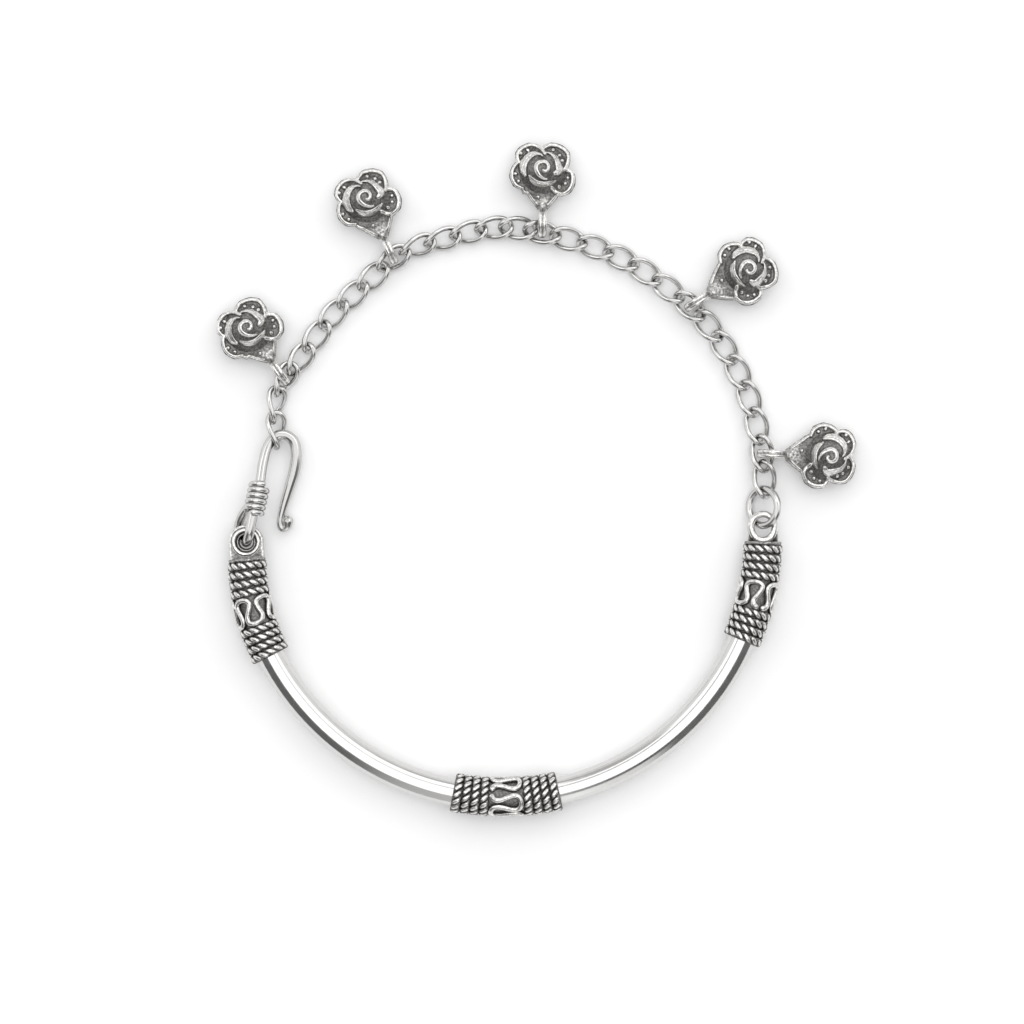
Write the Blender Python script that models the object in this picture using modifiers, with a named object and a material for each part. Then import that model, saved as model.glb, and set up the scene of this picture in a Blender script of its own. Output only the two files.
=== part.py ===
"""A silver bracelet: a polished half bangle closed by a curb chain with five rose charms.

Metres, +Z up. It lies flat, and the origin is on the surface under the middle of its box.
Inside the script, places in the plane are measured from the centre of the bangle's arc.
Angles along the arc are in degrees from +X, and -90 is the middle of the bar.
"""
import math

import bmesh
import bpy
from mathutils import Matrix, Vector

# Bar
BAR_DIAMETER = 0.0030
ARC_RADIUS = 0.02787
BAR_SEGMENT = 0.0026
BAR_END_GAP = 0.00015

# Sleeves on the bar: the bead at its middle and the cap at each end
LEFT_END_ANGLE = -175.1
RIGHT_END_ANGLE = -1.1
LEFT_TUCK = 0.00045
TUCK_START = -150.0
BEAD_ANGLE = -89.2
CAP_LENGTH = 0.0109
BEAD_LENGTH = 0.0114
SOCKET_DEPTH = 0.0080
BORE_CLEARANCE = 0.00010
CORE_WALL = 0.00013
SLEEVE_SIDES = 12
BORE_STEPS = 5
ROPE_ROWS = 4
ROPE_PITCH = 0.00097
ROPE_HEIGHT = 0.00041
ROPE_VALLEY = 0.00006
ROPE_SLOPE_SHARE = 0.27
CORE_STEP = 0.00010

# Serpentine wire round the core of each sleeve
SQUIGGLE_WIRE = 0.00044
SQUIGGLE_WAVES = 6
SQUIGGLE_POINTS_PER_WAVE = 8
SQUIGGLE_BULGE = 0.00021
SQUIGGLE_SINK = 0.00008
SQUIGGLE_OVERLAP = 0.00004

# Eyes at the outer ends of the caps
LEFT_EYE_RADIUS = 0.00186
LEFT_EYE_HOLE = 0.00108
LEFT_EYE_REACH = 0.00175
LEFT_EYE_THICKNESS = 0.0014
RIGHT_EYE_RADIUS = 0.00163
RIGHT_EYE_HOLE = 0.00100
RIGHT_EYE_REACH = 0.00164
RIGHT_EYE_THICKNESS = 0.00072
EYE_ROUNDING = 0.00025
EYE_FOOT = 0.0005
EYE_ARC_STEPS = 8
EYE_HOLE_SIDES = 14

# Curb chain
LINK_COUNT = 28
LINK_WIRE = 0.00056
LINK_WIDTH = 0.00268
LINK_CLEARANCE = 0.00034
LINK_TWIST = 50.0
LINK_SQUARENESS = 0.82
LINK_SEGMENTS = 12
FIRST_CHARM_LINK = 3
CHARM_LINK_STEP = 6

# The chain's route, chosen by eye: link number, offset in chain bulges from the point that is as far
# along the straight line from the hook's top to the jump ring's end, height of the link's middle in
# link widths, and its roll in degrees
CHAIN_BULGE = 0.033
CHAIN_ROUTE = [
    (1, -0.023, 0.013, 0.500, 55.0),
    (2, -0.083, 0.102, 0.500, 58.0),
    (3, -0.111, 0.191, 0.480, 42.0),
    (4, -0.119, 0.263, 0.440, 24.0),
    (6, -0.126, 0.423, 0.310, 4.0),
    (8, -0.112, 0.558, 0.373, 8.0),
    (9, -0.104, 0.623, 0.463, 20.0),
    (10, -0.084, 0.669, 0.440, 38.0),
    (11, -0.060, 0.700, 0.403, 30.0),
    (13, -0.008, 0.750, 0.380, 20.0),
    (15, 0.034, 0.747, 0.480, 0.0),
    (18, 0.118, 0.685, 0.277, 0.0),
    (21, 0.167, 0.547, 0.486, 0.0),
    (23, 0.166, 0.426, 0.292, 0.0),
    (25, 0.131, 0.274, 0.322, 0.0),
    (27, 0.057, 0.109, 0.493, 0.0),
    (28, 0.006, 0.032, 0.590, 0.0),
]

# Jump ring between the last link and the right eye
JUMP_RING_DIAMETER = 0.00473
JUMP_RING_WIRE = 0.00078
JUMP_RING_TILT = 44.0
JUMP_RING_SLOPE = 8.0
JUMP_RING_SEGMENTS = 16
JUMP_RING_PULL = 0.00006

# Hook
HOOK_WIRE = 0.00102
HOOK_LENGTH = 0.0122
HOOK_WIDTH = 0.0036
HOOK_LEAN = 18.8
HOOK_TOP_HEIGHT = 0.00135
HOOK_TIP_HEIGHT = 0.0009
HOOK_STEP = 0.00058
EYE_LOOP_GAP = 0.00012

# The hook's plane figure past the eye, as shares chosen by eye: along its length, across its width,
# drop (0 over the eye, 1 at the top bend, 2 at the tip's lowest), and wire thickness
HOOK_FIGURE = [
    (0.135, 0.00, 0.00, 1.00),
    (0.265, -0.06, 0.07, 1.00),
    (0.400, -0.11, 0.20, 1.00),
    (0.535, -0.17, 0.36, 1.00),
    (0.700, -0.28, 0.60, 1.00),
    (0.850, -0.32, 0.84, 1.00),
    (0.955, -0.21, 0.97, 1.02),
    (1.000, 0.04, 1.00, 1.05),
    (0.970, 0.36, 1.00, 1.08),
    (0.860, 0.57, 1.00, 1.12),
    (0.720, 0.66, 1.28, 1.06),
    (0.545, 0.68, 1.46, 0.78),
    (0.380, 0.70, 1.62, 0.55),
    (0.260, 0.75, 1.73, 0.50),
    (0.212, 0.86, 1.78, 0.54),
    (0.242, 0.98, 1.74, 0.70),
    (0.300, 0.96, 1.69, 0.86),
]

# The hook's foot from under the eye up through its hole, as shares: along by the eye's clear radius,
# across by the middle of the eye's band, height from under the eye to over it, and wire thickness
EYE_LOOP_FIGURE = [
    (1.05, 0.97, 0.20, 0.86),
    (0.64, 0.93, -0.02, 0.90),
    (0.27, 0.54, 0.00, 0.96),
    (0.04, 0.12, 0.22, 1.00),
    (0.00, 0.00, 0.50, 1.00),
    (0.12, -0.05, 0.77, 1.00),
    (0.45, -0.08, 0.96, 1.00),
]

# Where the foot's end lies below the coil: coil wires back, across and height as above
FOOT_END_FIGURE = [
    (-1.4, 0.62, 0.40, 0.72),
    (-0.1, 0.83, 0.42, 0.80),
]
SMOOTH_STEPS = 8

# Coil round the foot of the hook
COIL_WIRE = 0.00050
COIL_TURNS = 5
COIL_START = 0.262
COIL_END = 0.515
COIL_CLEARANCE = 0.00010
COIL_POINTS_PER_TURN = 10
COIL_GUIDE_STEPS = 40

# Charms: direction in degrees, and distance of the rose's middle from its link in rose radii
CHARM_PLACES = [
    (125.0, 1.97),
    (114.0, 2.06),
    (89.0, 1.97),
    (32.0, 2.15),
    (-3.0, 2.09),
]
BAIL_LENGTH = 0.0033
BAIL_WIRE = 0.00080
BAIL_REACH = 0.00105
BAIL_SEGMENTS = 14
ROSE_RADIUS = 0.0034
ROSE_HEIGHT = 0.0044
ROSE_PETALS = 5
ROSE_TILT = 10.0
ROSE_STEPS_PER_PETAL = 5
PETAL_NOTCH = 0.20
PETAL_ROUNDNESS = 0.6
NECK_WIDTH = 0.0012
NECK_SHARPNESS = 1.6
NECK_START = 0.44
NECK_BLEND = 0.40

# Sections of the rose from its middle over the rim to its base, as shares: distance out, height,
# how much of the petal outline, how much of the swirl, and height about the neck's middle in necks
ROSE_SECTIONS = [
    (0.06, 0.96, 0.0, 0.00, 0.0),
    (0.16, 1.00, 0.0, 0.35, 0.0),
    (0.30, 0.86, 0.0, 1.00, 0.0),
    (0.44, 0.86, 0.1, 1.00, 0.0),
    (0.58, 0.66, 0.4, 0.50, 0.9),
    (0.76, 0.52, 0.8, 0.00, 0.6),
    (0.92, 0.60, 1.0, 0.00, 0.5),
    (1.00, 0.52, 1.0, 0.00, 0.0),
    (0.92, 0.36, 0.9, 0.00, -0.5),
    (0.66, 0.14, 0.5, 0.00, -0.8),
    (0.34, 0.02, 0.1, 0.00, 0.0),
]
ROSE_RIM_SHARE = 0.36
SWIRL_HEIGHT = 0.00022
SWIRL_ARMS = 3
SWIRL_TURN = 500.0
SHARP_ANGLE = 40.0

SILVER = (0.78, 0.77, 0.75, 1.0)
DARK_SILVER = (0.42, 0.41, 0.40, 1.0)

BAR_RADIUS = BAR_DIAMETER / 2
BORE_RADIUS = (BAR_RADIUS + BORE_CLEARANCE / 2) / math.cos(math.pi / SLEEVE_SIDES)
CORE_RADIUS = BORE_RADIUS + CORE_WALL
SLEEVE_RADIUS = CORE_RADIUS + ROPE_HEIGHT
BAR_HEIGHT = SLEEVE_RADIUS
TINY = 1e-6
UP = Vector((0.0, 0.0, 1.0))


def clear_scene():
    """Remove every object of the scene."""
    for obj in list(bpy.data.objects):
        bpy.data.objects.remove(obj, do_unlink=True)


def silver(name, colour, roughness):
    """A metal material of its own for one piece."""
    material = bpy.data.materials.new(name)
    material.use_nodes = True
    shader = material.node_tree.nodes["Principled BSDF"]
    shader.inputs["Base Color"].default_value = colour
    shader.inputs["Metallic"].default_value = 1.0
    shader.inputs["Roughness"].default_value = roughness
    return material


def link_object(name, data, collection):
    """A new object that holds the given data, in the collection."""
    obj = bpy.data.objects.new(name, data)
    collection.objects.link(obj)
    return obj


def smooth_through(points, steps):
    """Points on a smooth curve through the given ones, with so many steps in each stretch."""
    ends = [2 * points[0] - points[1]] + list(points) + [2 * points[-1] - points[-2]]
    result = []
    for i in range(1, len(ends) - 2):
        before, start, end, after = ends[i - 1:i + 3]
        for step in range(steps):
            t = step / steps
            tangent_in = (end - before) / 2
            tangent_out = (after - start) / 2
            value = start * (2 * t ** 3 - 3 * t ** 2 + 1) + end * (3 * t ** 2 - 2 * t ** 3)
            value = value + tangent_in * (t ** 3 - 2 * t ** 2 + t) + tangent_out * (t ** 3 - t ** 2)
            result.append(value)
    result.append(points[-1])
    return result


def even_points(points, spacing):
    """The same line with its points an even distance apart."""
    lengths = [0.0]
    for a, b in zip(points, points[1:]):
        lengths.append(lengths[-1] + (b - a).to_3d().length)
    count = max(2, round(lengths[-1] / spacing))
    result = []
    place = 0
    for i in range(count + 1):
        target = lengths[-1] * i / count
        while place < len(points) - 2 and lengths[place + 1] < target:
            place += 1
        share = (target - lengths[place]) / max(lengths[place + 1] - lengths[place], TINY ** 2)
        result.append(points[place].lerp(points[place + 1], share))
    return result


def wire_mesh(name, points, radius, shares=None, closed=False, resolution=1):
    """A wire along the points as a mesh with welded caps; shares scale its radius at each point."""
    curve = bpy.data.curves.new(name, "CURVE")
    curve.dimensions = "3D"
    curve.bevel_depth = radius
    curve.bevel_resolution = resolution
    curve.use_fill_caps = not closed
    spline = curve.splines.new("POLY")
    spline.points.add(len(points) - 1)
    for i, point in enumerate(points):
        spline.points[i].co = (point[0], point[1], point[2], 1.0)
        spline.points[i].radius = shares[i] if shares else 1.0
    spline.use_cyclic_u = closed
    return curve_to_mesh(name, curve)


def curve_to_mesh(name, curve):
    """The evaluated curve as a welded mesh."""
    guide = bpy.data.objects.new(name + "_guide", curve)
    bpy.context.scene.collection.objects.link(guide)
    mesh = evaluated_mesh(guide)
    mesh.name = name
    bpy.data.objects.remove(guide, do_unlink=True)
    bpy.data.curves.remove(curve)
    return mesh


def evaluated_mesh(obj):
    """A copy of the object's mesh with its modifiers applied and its seams welded."""
    bpy.context.view_layer.update()
    depsgraph = bpy.context.evaluated_depsgraph_get()
    mesh = bpy.data.meshes.new_from_object(obj.evaluated_get(depsgraph))
    shape = bmesh.new()
    shape.from_mesh(mesh)
    bmesh.ops.remove_doubles(shape, verts=shape.verts, dist=TINY)
    bmesh.ops.recalc_face_normals(shape, faces=shape.faces)
    shape.to_mesh(mesh)
    shape.free()
    return mesh


def turned_mesh(name, profile, closed, sides):
    """A profile of (radius, height) turned about the Z axis."""
    mesh = bpy.data.meshes.new(name)
    edges = [(i, i + 1) for i in range(len(profile) - 1)]
    if closed:
        edges.append((len(profile) - 1, 0))
    mesh.from_pydata([(radius, 0.0, height) for radius, height in profile], edges, [])
    guide = bpy.data.objects.new(name + "_guide", mesh)
    bpy.context.scene.collection.objects.link(guide)
    screw = guide.modifiers.new("Turn", "SCREW")
    screw.steps = sides
    screw.render_steps = sides
    screw.use_merge_vertices = True
    screw.merge_threshold = TINY
    turned = evaluated_mesh(guide)
    turned.name = name
    bpy.data.objects.remove(guide, do_unlink=True)
    return turned


def union_mesh(name, meshes, cutters):
    """The meshes joined into one body."""
    base = link_object(name + "_base", meshes[0], cutters)
    tools = []
    for i, mesh in enumerate(meshes[1:]):
        tool = link_object(f"{name}_tool_{i}", mesh, cutters)
        tool.hide_render = True
        tool.display_type = "WIRE"
        join = base.modifiers.new("Join", "BOOLEAN")
        join.operation = "UNION"
        join.solver = "EXACT"
        join.object = tool
        tools.append(tool)
    joined = evaluated_mesh(base)
    joined.name = name
    for obj in [base] + tools:
        bpy.data.objects.remove(obj, do_unlink=True)
    return joined


def on_arc(angle, radial=0.0, height=0.0):
    """A point at an angle along the bangle's arc, so far out from the bar's centre line."""
    turn = math.radians(angle)
    tucked = (TUCK_START - angle) / (TUCK_START - LEFT_END_ANGLE)
    tucked = min(1.0, max(0.0, tucked))
    reach = ARC_RADIUS + radial - LEFT_TUCK * tucked ** 2
    return Vector((reach * math.cos(turn), reach * math.sin(turn), height))


def arc_degrees(length):
    """The angle that a length takes up along the arc."""
    return math.degrees(length / ARC_RADIUS)


def bend_along_arc(mesh, middle_angle, flipped):
    """Bend a straight sleeve along the arc: +X becomes outward, +Z clockwise seen from above."""
    for vertex in mesh.vertices:
        x, y, z = vertex.co
        if flipped:
            y, z = -y, -z
        vertex.co = on_arc(middle_angle - arc_degrees(z), x, y)


def rope_rows(start, going_down):
    """Profile points of one zone of rope rows below the given height."""
    points = []
    for row in range(ROPE_ROWS):
        top = start - row * ROPE_PITCH
        points.append((CORE_RADIUS + ROPE_VALLEY, top))
        points.append((SLEEVE_RADIUS, top - ROPE_SLOPE_SHARE * ROPE_PITCH))
        points.append((SLEEVE_RADIUS, top - (1 - ROPE_SLOPE_SHARE) * ROPE_PITCH))
    points.append((CORE_RADIUS + ROPE_VALLEY, going_down))
    return points


def sleeve_profile(length):
    """The outer side of a sleeve from top to bottom: rope rows, smooth core, rope rows."""
    zone = ROPE_ROWS * ROPE_PITCH
    top = length / 2
    core_top = top - zone
    core_bottom = zone - top
    points = rope_rows(top, core_top)
    points.append((CORE_RADIUS, core_top - CORE_STEP))
    points.append((CORE_RADIUS, 0.0))
    points.append((CORE_RADIUS, core_bottom + CORE_STEP))
    points += rope_rows(core_bottom, -top)
    return points


def squiggle_mesh(length):
    """The closed serpentine wire round a sleeve's core."""
    half_zone = length / 2 - ROPE_ROWS * ROPE_PITCH
    swing = half_zone - SQUIGGLE_WIRE / 2 + SQUIGGLE_OVERLAP
    radius = CORE_RADIUS + SQUIGGLE_WIRE / 2 - SQUIGGLE_SINK
    wave = 2 * math.pi * radius / SQUIGGLE_WAVES
    points = []
    for i in range(SQUIGGLE_WAVES * SQUIGGLE_POINTS_PER_WAVE):
        turn = i / SQUIGGLE_POINTS_PER_WAVE
        phase = 2 * math.pi * turn
        around = (wave * turn - SQUIGGLE_BULGE * math.sin(2 * phase)) / radius
        points.append((radius * math.cos(around), radius * math.sin(around), swing * math.sin(phase)))
    return wire_mesh("squiggle", points, SQUIGGLE_WIRE / 2, closed=True, resolution=0)


def eye_mesh(cap_end, radius, hole, reach, thickness):
    """A U-shaped plate with a round hole and rounded edges, standing on the end of a cap."""
    curve = bpy.data.curves.new("eye", "CURVE")
    curve.dimensions = "2D"
    curve.fill_mode = "BOTH"
    curve.extrude = thickness / 2 - EYE_ROUNDING
    curve.bevel_depth = EYE_ROUNDING
    curve.bevel_resolution = 1
    curve.offset = -EYE_ROUNDING
    outline = [(-radius, -EYE_FOOT), (radius, -EYE_FOOT)]
    for i in range(EYE_ARC_STEPS + 1):
        turn = math.pi * i / EYE_ARC_STEPS
        outline.append((radius * math.cos(turn), reach + radius * math.sin(turn)))
    opening = []
    for i in range(EYE_HOLE_SIDES):
        turn = -2 * math.pi * i / EYE_HOLE_SIDES
        opening.append((hole * math.cos(turn), reach + hole * math.sin(turn)))
    for ring in (outline, opening):
        spline = curve.splines.new("POLY")
        spline.points.add(len(ring) - 1)
        for point, (x, y) in zip(spline.points, ring):
            point.co = (x, y, 0.0, 1.0)
        spline.use_cyclic_u = True
    mesh = curve_to_mesh("eye", curve)
    mesh.transform(Matrix.Translation((0.0, 0.0, cap_end)) @ Matrix.Rotation(math.radians(90), 4, "X"))
    return mesh


def make_bead(collection, cutters):
    """The sleeve at the middle of the bar, open right through."""
    profile = sleeve_profile(BEAD_LENGTH)
    for i in range(BORE_STEPS + 1):
        profile.append((BORE_RADIUS, -BEAD_LENGTH / 2 + BEAD_LENGTH * i / BORE_STEPS))
    sleeve = turned_mesh("bead_core", profile, True, SLEEVE_SIDES)
    mesh = union_mesh("centre_bead", [sleeve, squiggle_mesh(BEAD_LENGTH)], cutters)
    bend_along_arc(mesh, BEAD_ANGLE, False)
    return link_object("centre_bead", mesh, collection)


def make_cap(name, end_angle, flipped, eye, collection, cutters):
    """A sleeve over one end of the bar, closed at its outer end, with its eye."""
    top = CAP_LENGTH / 2
    profile = [(0.0, top)] + sleeve_profile(CAP_LENGTH)
    for i in range(BORE_STEPS + 1):
        profile.append((BORE_RADIUS, -top + SOCKET_DEPTH * i / BORE_STEPS))
    profile.append((0.0, -top + SOCKET_DEPTH))
    sleeve = turned_mesh(name + "_core", profile, False, SLEEVE_SIDES)
    mesh = union_mesh(name, [sleeve, squiggle_mesh(CAP_LENGTH), eye_mesh(top, *eye)], cutters)
    inward = -arc_degrees(top) if flipped else arc_degrees(top)
    bend_along_arc(mesh, end_angle + inward, flipped)
    return link_object(name, mesh, collection)


def make_bar(collection):
    """The polished bar, from the floor of one cap's socket to the floor of the other's."""
    hidden = arc_degrees(CAP_LENGTH - SOCKET_DEPTH + BAR_END_GAP)
    start = LEFT_END_ANGLE + hidden
    end = RIGHT_END_ANGLE - hidden
    count = round(math.radians(end - start) * ARC_RADIUS / BAR_SEGMENT)
    points = [on_arc(start + (end - start) * i / count) for i in range(count + 1)]
    mesh = wire_mesh("bangle_bar", points, BAR_RADIUS, resolution=4)
    return link_object("bangle_bar", mesh, collection)


def chain_ends():
    """The points that carry the chain: the top of the hook, and the far side of the jump ring."""
    top = hook_place() @ Vector((HOOK_LENGTH, 0.0, 0.0))
    hole = eye_centre(RIGHT_END_ANGLE, RIGHT_EYE_REACH, 1.0)
    return top, hole + Vector((0.0, JUMP_RING_DIAMETER - JUMP_RING_WIRE, 0.0))


def route_at(number):
    """Place, height and roll at a link number along the chain's route."""
    hook_end, ring_end = chain_ends()
    last = len(CHAIN_ROUTE) - 1
    numbers = [row[0] for row in CHAIN_ROUTE]
    knots = []
    for knot, x, y, height, roll in CHAIN_ROUTE:
        middle = hook_end.lerp(ring_end, (knot - 1) / (LINK_COUNT - 1))
        place = (middle.x + x * CHAIN_BULGE, middle.y + y * CHAIN_BULGE)
        knots.append(Vector((place[0], place[1], height * LINK_WIDTH, roll)))
    i = 0
    while i < last - 1 and numbers[i + 1] <= number:
        i += 1

    def slope(k):
        before = max(k - 1, 0)
        after = min(k + 1, last)
        return (knots[after] - knots[before]) / (numbers[after] - numbers[before])

    span = numbers[i + 1] - numbers[i]
    t = (number - numbers[i]) / span
    rise, fall = slope(i) * span, slope(i + 1) * span
    value = knots[i] * (2 * t ** 3 - 3 * t ** 2 + 1) + knots[i + 1] * (3 * t ** 2 - 2 * t ** 3)
    return value + rise * (t ** 3 - 2 * t ** 2 + t) + fall * (t ** 3 - t ** 2)


def link_place(number):
    """World placing of a link: +X clockwise along the chain, +Y outward, rolled about +X."""
    x, y, height, roll = route_at(number)
    ahead = route_at(min(number + 1, LINK_COUNT)) - route_at(max(number - 1, 1))
    heading = Vector((ahead[0], ahead[1], 0.0)).normalized()
    frame = Matrix((heading, UP.cross(heading), UP)).transposed().to_4x4()
    return Matrix.Translation((x, y, height)) @ frame @ Matrix.Rotation(math.radians(roll), 4, "X")


def link_points():
    """Centre line of one twisted oval link about its own middle."""
    route_length = 0.0
    for number in range(1, LINK_COUNT):
        route_length += (route_at(number + 1) - route_at(number)).to_2d().length
    pitch = route_length / (LINK_COUNT - 1)
    half_length = (pitch + LINK_WIRE + LINK_CLEARANCE) / 2
    half_width = (LINK_WIDTH - LINK_WIRE) / 2
    points = []
    for i in range(LINK_SEGMENTS):
        turn = 2 * math.pi * i / LINK_SEGMENTS
        c, s = math.cos(turn), math.sin(turn)
        x = half_length * math.copysign(abs(c) ** LINK_SQUARENESS, c)
        y = half_width * math.copysign(abs(s) ** LINK_SQUARENESS, s)
        twist = -math.radians(LINK_TWIST) * x / half_length
        points.append(Vector((x, y * math.cos(twist), y * math.sin(twist))))
    return points


def make_chain(collection):
    """The links, all of one mesh, each turned along the route."""
    mesh = wire_mesh("link", link_points(), LINK_WIRE / 2, closed=True)
    links = []
    for number in range(1, LINK_COUNT + 1):
        link = link_object(f"link_{number:02d}", mesh, collection)
        link.matrix_world = link_place(number)
        links.append(link)
    return links


def eye_centre(end_angle, reach, outward_turn):
    """Middle of an eye's hole, past the end of its cap."""
    return on_arc(end_angle + outward_turn * arc_degrees(reach))


def make_jump_ring(collection):
    """The round ring that joins the last link to the right eye."""
    hole = eye_centre(RIGHT_END_ANGLE, RIGHT_EYE_REACH, 1.0)
    radius = (JUMP_RING_DIAMETER - JUMP_RING_WIRE) / 2
    last = link_place(LINK_COUNT).translation
    along = Vector((last.x - hole.x, last.y - hole.y, 0.0)).normalized()
    across = along.cross(UP)
    slope = math.radians(JUMP_RING_SLOPE)
    tilt = math.radians(JUMP_RING_TILT)
    first = along * math.cos(slope) - UP * math.sin(slope)
    second = across * math.cos(tilt) + UP * math.sin(tilt)
    middle = Vector((hole.x, hole.y, BAR_HEIGHT)) + first * (radius + JUMP_RING_PULL)
    points = []
    for i in range(JUMP_RING_SEGMENTS):
        turn = 2 * math.pi * i / JUMP_RING_SEGMENTS
        points.append(first * radius * math.cos(turn) + second * radius * math.sin(turn))
    mesh = wire_mesh("jump_ring", points, JUMP_RING_WIRE / 2, closed=True)
    ring = link_object("jump_ring", mesh, collection)
    ring.location = middle
    return ring


def hook_heights():
    """Heights of the hook's wire over the eye and under it."""
    clearance = HOOK_WIRE / 2 + EYE_LOOP_GAP
    over = BAR_HEIGHT + LEFT_EYE_THICKNESS / 2 + clearance
    under = BAR_HEIGHT - LEFT_EYE_THICKNESS / 2 - clearance
    return over, under


def hook_figure():
    """The hook past the eye in its own frame: +X along it, +Y to its left, with wire shares."""
    over, _ = hook_heights()
    figure = []
    for along, across, drop, share in HOOK_FIGURE:
        height = over + (HOOK_TOP_HEIGHT - over) * min(drop, 1.0)
        height += (HOOK_TIP_HEIGHT - HOOK_TOP_HEIGHT) * max(drop - 1.0, 0.0)
        figure.append(Vector((along * HOOK_LENGTH, -across * HOOK_WIDTH, height, share)))
    return figure


def eye_loop():
    """The hook's foot in the same frame: from the coil back under the eye, up through its hole."""
    over, under = hook_heights()
    band = (LEFT_EYE_RADIUS + LEFT_EYE_HOLE) / 2
    side = LEFT_EYE_RADIUS + EYE_LOOP_GAP
    coil_foot = COIL_START * HOOK_LENGTH
    points = []
    for back, across, rise, share in FOOT_END_FIGURE:
        height = under + (over - under) * rise
        points.append(Vector((coil_foot - back * COIL_WIRE, across * band, height, share)))
    for along, across, rise, share in EYE_LOOP_FIGURE:
        height = under + (over - under) * rise
        points.append(Vector((along * side, across * band, height, share)))
    return points


def hook_points():
    """The hook's whole centre line in its own frame, evenly spaced, with wire shares."""
    line = smooth_through(eye_loop() + hook_figure(), SMOOTH_STEPS)
    return even_points(line, HOOK_STEP)


def make_hook(collection):
    """The hook, with its origin in the left eye's hole."""
    points = hook_points()
    mesh = wire_mesh("hook", points, HOOK_WIRE / 2, [p[3] for p in points], resolution=2)
    hook = link_object("hook", mesh, collection)
    hook.matrix_world = hook_place()
    return hook


def hook_place():
    """The hook's frame: its middle line leans outward to the right of +Y."""
    hole = eye_centre(LEFT_END_ANGLE, LEFT_EYE_REACH, -1.0)
    turn = Matrix.Rotation(math.radians(90.0 - HOOK_LEAN), 4, "Z")
    return Matrix.Translation((hole.x, hole.y, 0.0)) @ turn


def make_coil(collection):
    """The wire wound round the hook's shank."""
    shank = smooth_through(hook_figure(), COIL_GUIDE_STEPS)
    start = COIL_START * HOOK_LENGTH
    end = COIL_END * HOOK_LENGTH
    shank = [p.to_3d() for p in shank if start <= p[0] <= end and p[1] > -HOOK_WIDTH / 2]
    shank = even_points(shank, (end - start) / (COIL_TURNS * COIL_POINTS_PER_TURN))
    radius = HOOK_WIRE / 2 + COIL_CLEARANCE + COIL_WIRE / 2
    points = []
    for i, centre in enumerate(shank):
        heading = (shank[min(i + 1, len(shank) - 1)] - shank[max(i - 1, 0)]).normalized()
        side = heading.cross(UP).normalized()
        rise = side.cross(heading)
        turn = 2 * math.pi * i / COIL_POINTS_PER_TURN + math.pi / 2
        points.append(centre - side * radius * math.cos(turn) + rise * radius * math.sin(turn))
    mesh = wire_mesh("hook_coil", points, COIL_WIRE / 2)
    coil = link_object("hook_coil", mesh, collection)
    coil.matrix_world = hook_place()
    return coil


def petal_reach(turn, neck_turn, reach_to_neck):
    """Distance of the rose's outline from its middle; one petal is drawn out to the neck."""
    petal = abs(math.cos(ROSE_PETALS * (turn - neck_turn) / 2))
    reach = ROSE_RADIUS * (1 - PETAL_NOTCH * (1 - petal ** PETAL_ROUNDNESS))
    away = abs((turn - neck_turn + math.pi) % (2 * math.pi) - math.pi)
    if away < math.pi / ROSE_PETALS:
        share = 1 - away / (math.pi / ROSE_PETALS)
        reach = reach + (reach_to_neck - reach) * share ** NECK_SHARPNESS
    return reach


def rose_mesh(distance):
    """The rose of one charm: sections from its middle over the rim to its base."""
    neck = distance - BAIL_REACH - BAIL_LENGTH / 2 + BAIL_WIRE / 2
    steps = ROSE_PETALS * ROSE_STEPS_PER_PETAL
    tilt = math.tan(math.radians(ROSE_TILT))
    shape = bmesh.new()
    rings = []
    for out, height, lobes, swirl, necks in ROSE_SECTIONS:
        ring = []
        for i in range(steps):
            turn = 2 * math.pi * (i + 0.5) / steps
            outline = petal_reach(turn, math.pi, neck)
            reach = out * (ROSE_RADIUS * (1 - lobes) + outline * lobes)
            arm = SWIRL_ARMS * turn - math.radians(SWIRL_TURN) * out
            z = height * ROSE_HEIGHT + SWIRL_HEIGHT * swirl * math.cos(arm)
            if height > ROSE_RIM_SHARE:
                z = z - tilt * reach * math.cos(turn) * (height - ROSE_RIM_SHARE)
            away = abs(turn - math.pi) / (math.pi / ROSE_PETALS)
            if away < 1:
                drawn = (1 - away) * min(1.0, max(0.0, out - NECK_START) / NECK_BLEND)
                z = z + (BAIL_LENGTH / 2 + necks * NECK_WIDTH - z) * drawn
            ring.append(shape.verts.new((reach * math.cos(turn), reach * math.sin(turn), z)))
        rings.append(ring)
    top = shape.verts.new((0.0, 0.0, ROSE_SECTIONS[0][1] * ROSE_HEIGHT))
    bottom = shape.verts.new((0.0, 0.0, 0.0))
    for upper, lower in zip(rings, rings[1:]):
        for i in range(steps):
            j = (i + 1) % steps
            shape.faces.new((upper[i], lower[i], lower[j], upper[j]))
    for i in range(steps):
        j = (i + 1) % steps
        shape.faces.new((top, rings[0][i], rings[0][j]))
        shape.faces.new((bottom, rings[-1][j], rings[-1][i]))
    mesh = bpy.data.meshes.new("rose")
    shape.to_mesh(mesh)
    shape.free()
    mesh.transform(Matrix.Translation((distance, 0.0, 0.0)))
    return mesh


def bail_mesh():
    """The upright ring of a charm, beyond the middle of its link along +X."""
    radius = (BAIL_LENGTH - BAIL_WIRE) / 2
    points = []
    for i in range(BAIL_SEGMENTS):
        turn = 2 * math.pi * i / BAIL_SEGMENTS
        x = BAIL_REACH + radius * math.cos(turn)
        points.append((x, 0.0, BAIL_LENGTH / 2 + radius * math.sin(turn)))
    return wire_mesh("bail", points, BAIL_WIRE / 2, closed=True)


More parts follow.
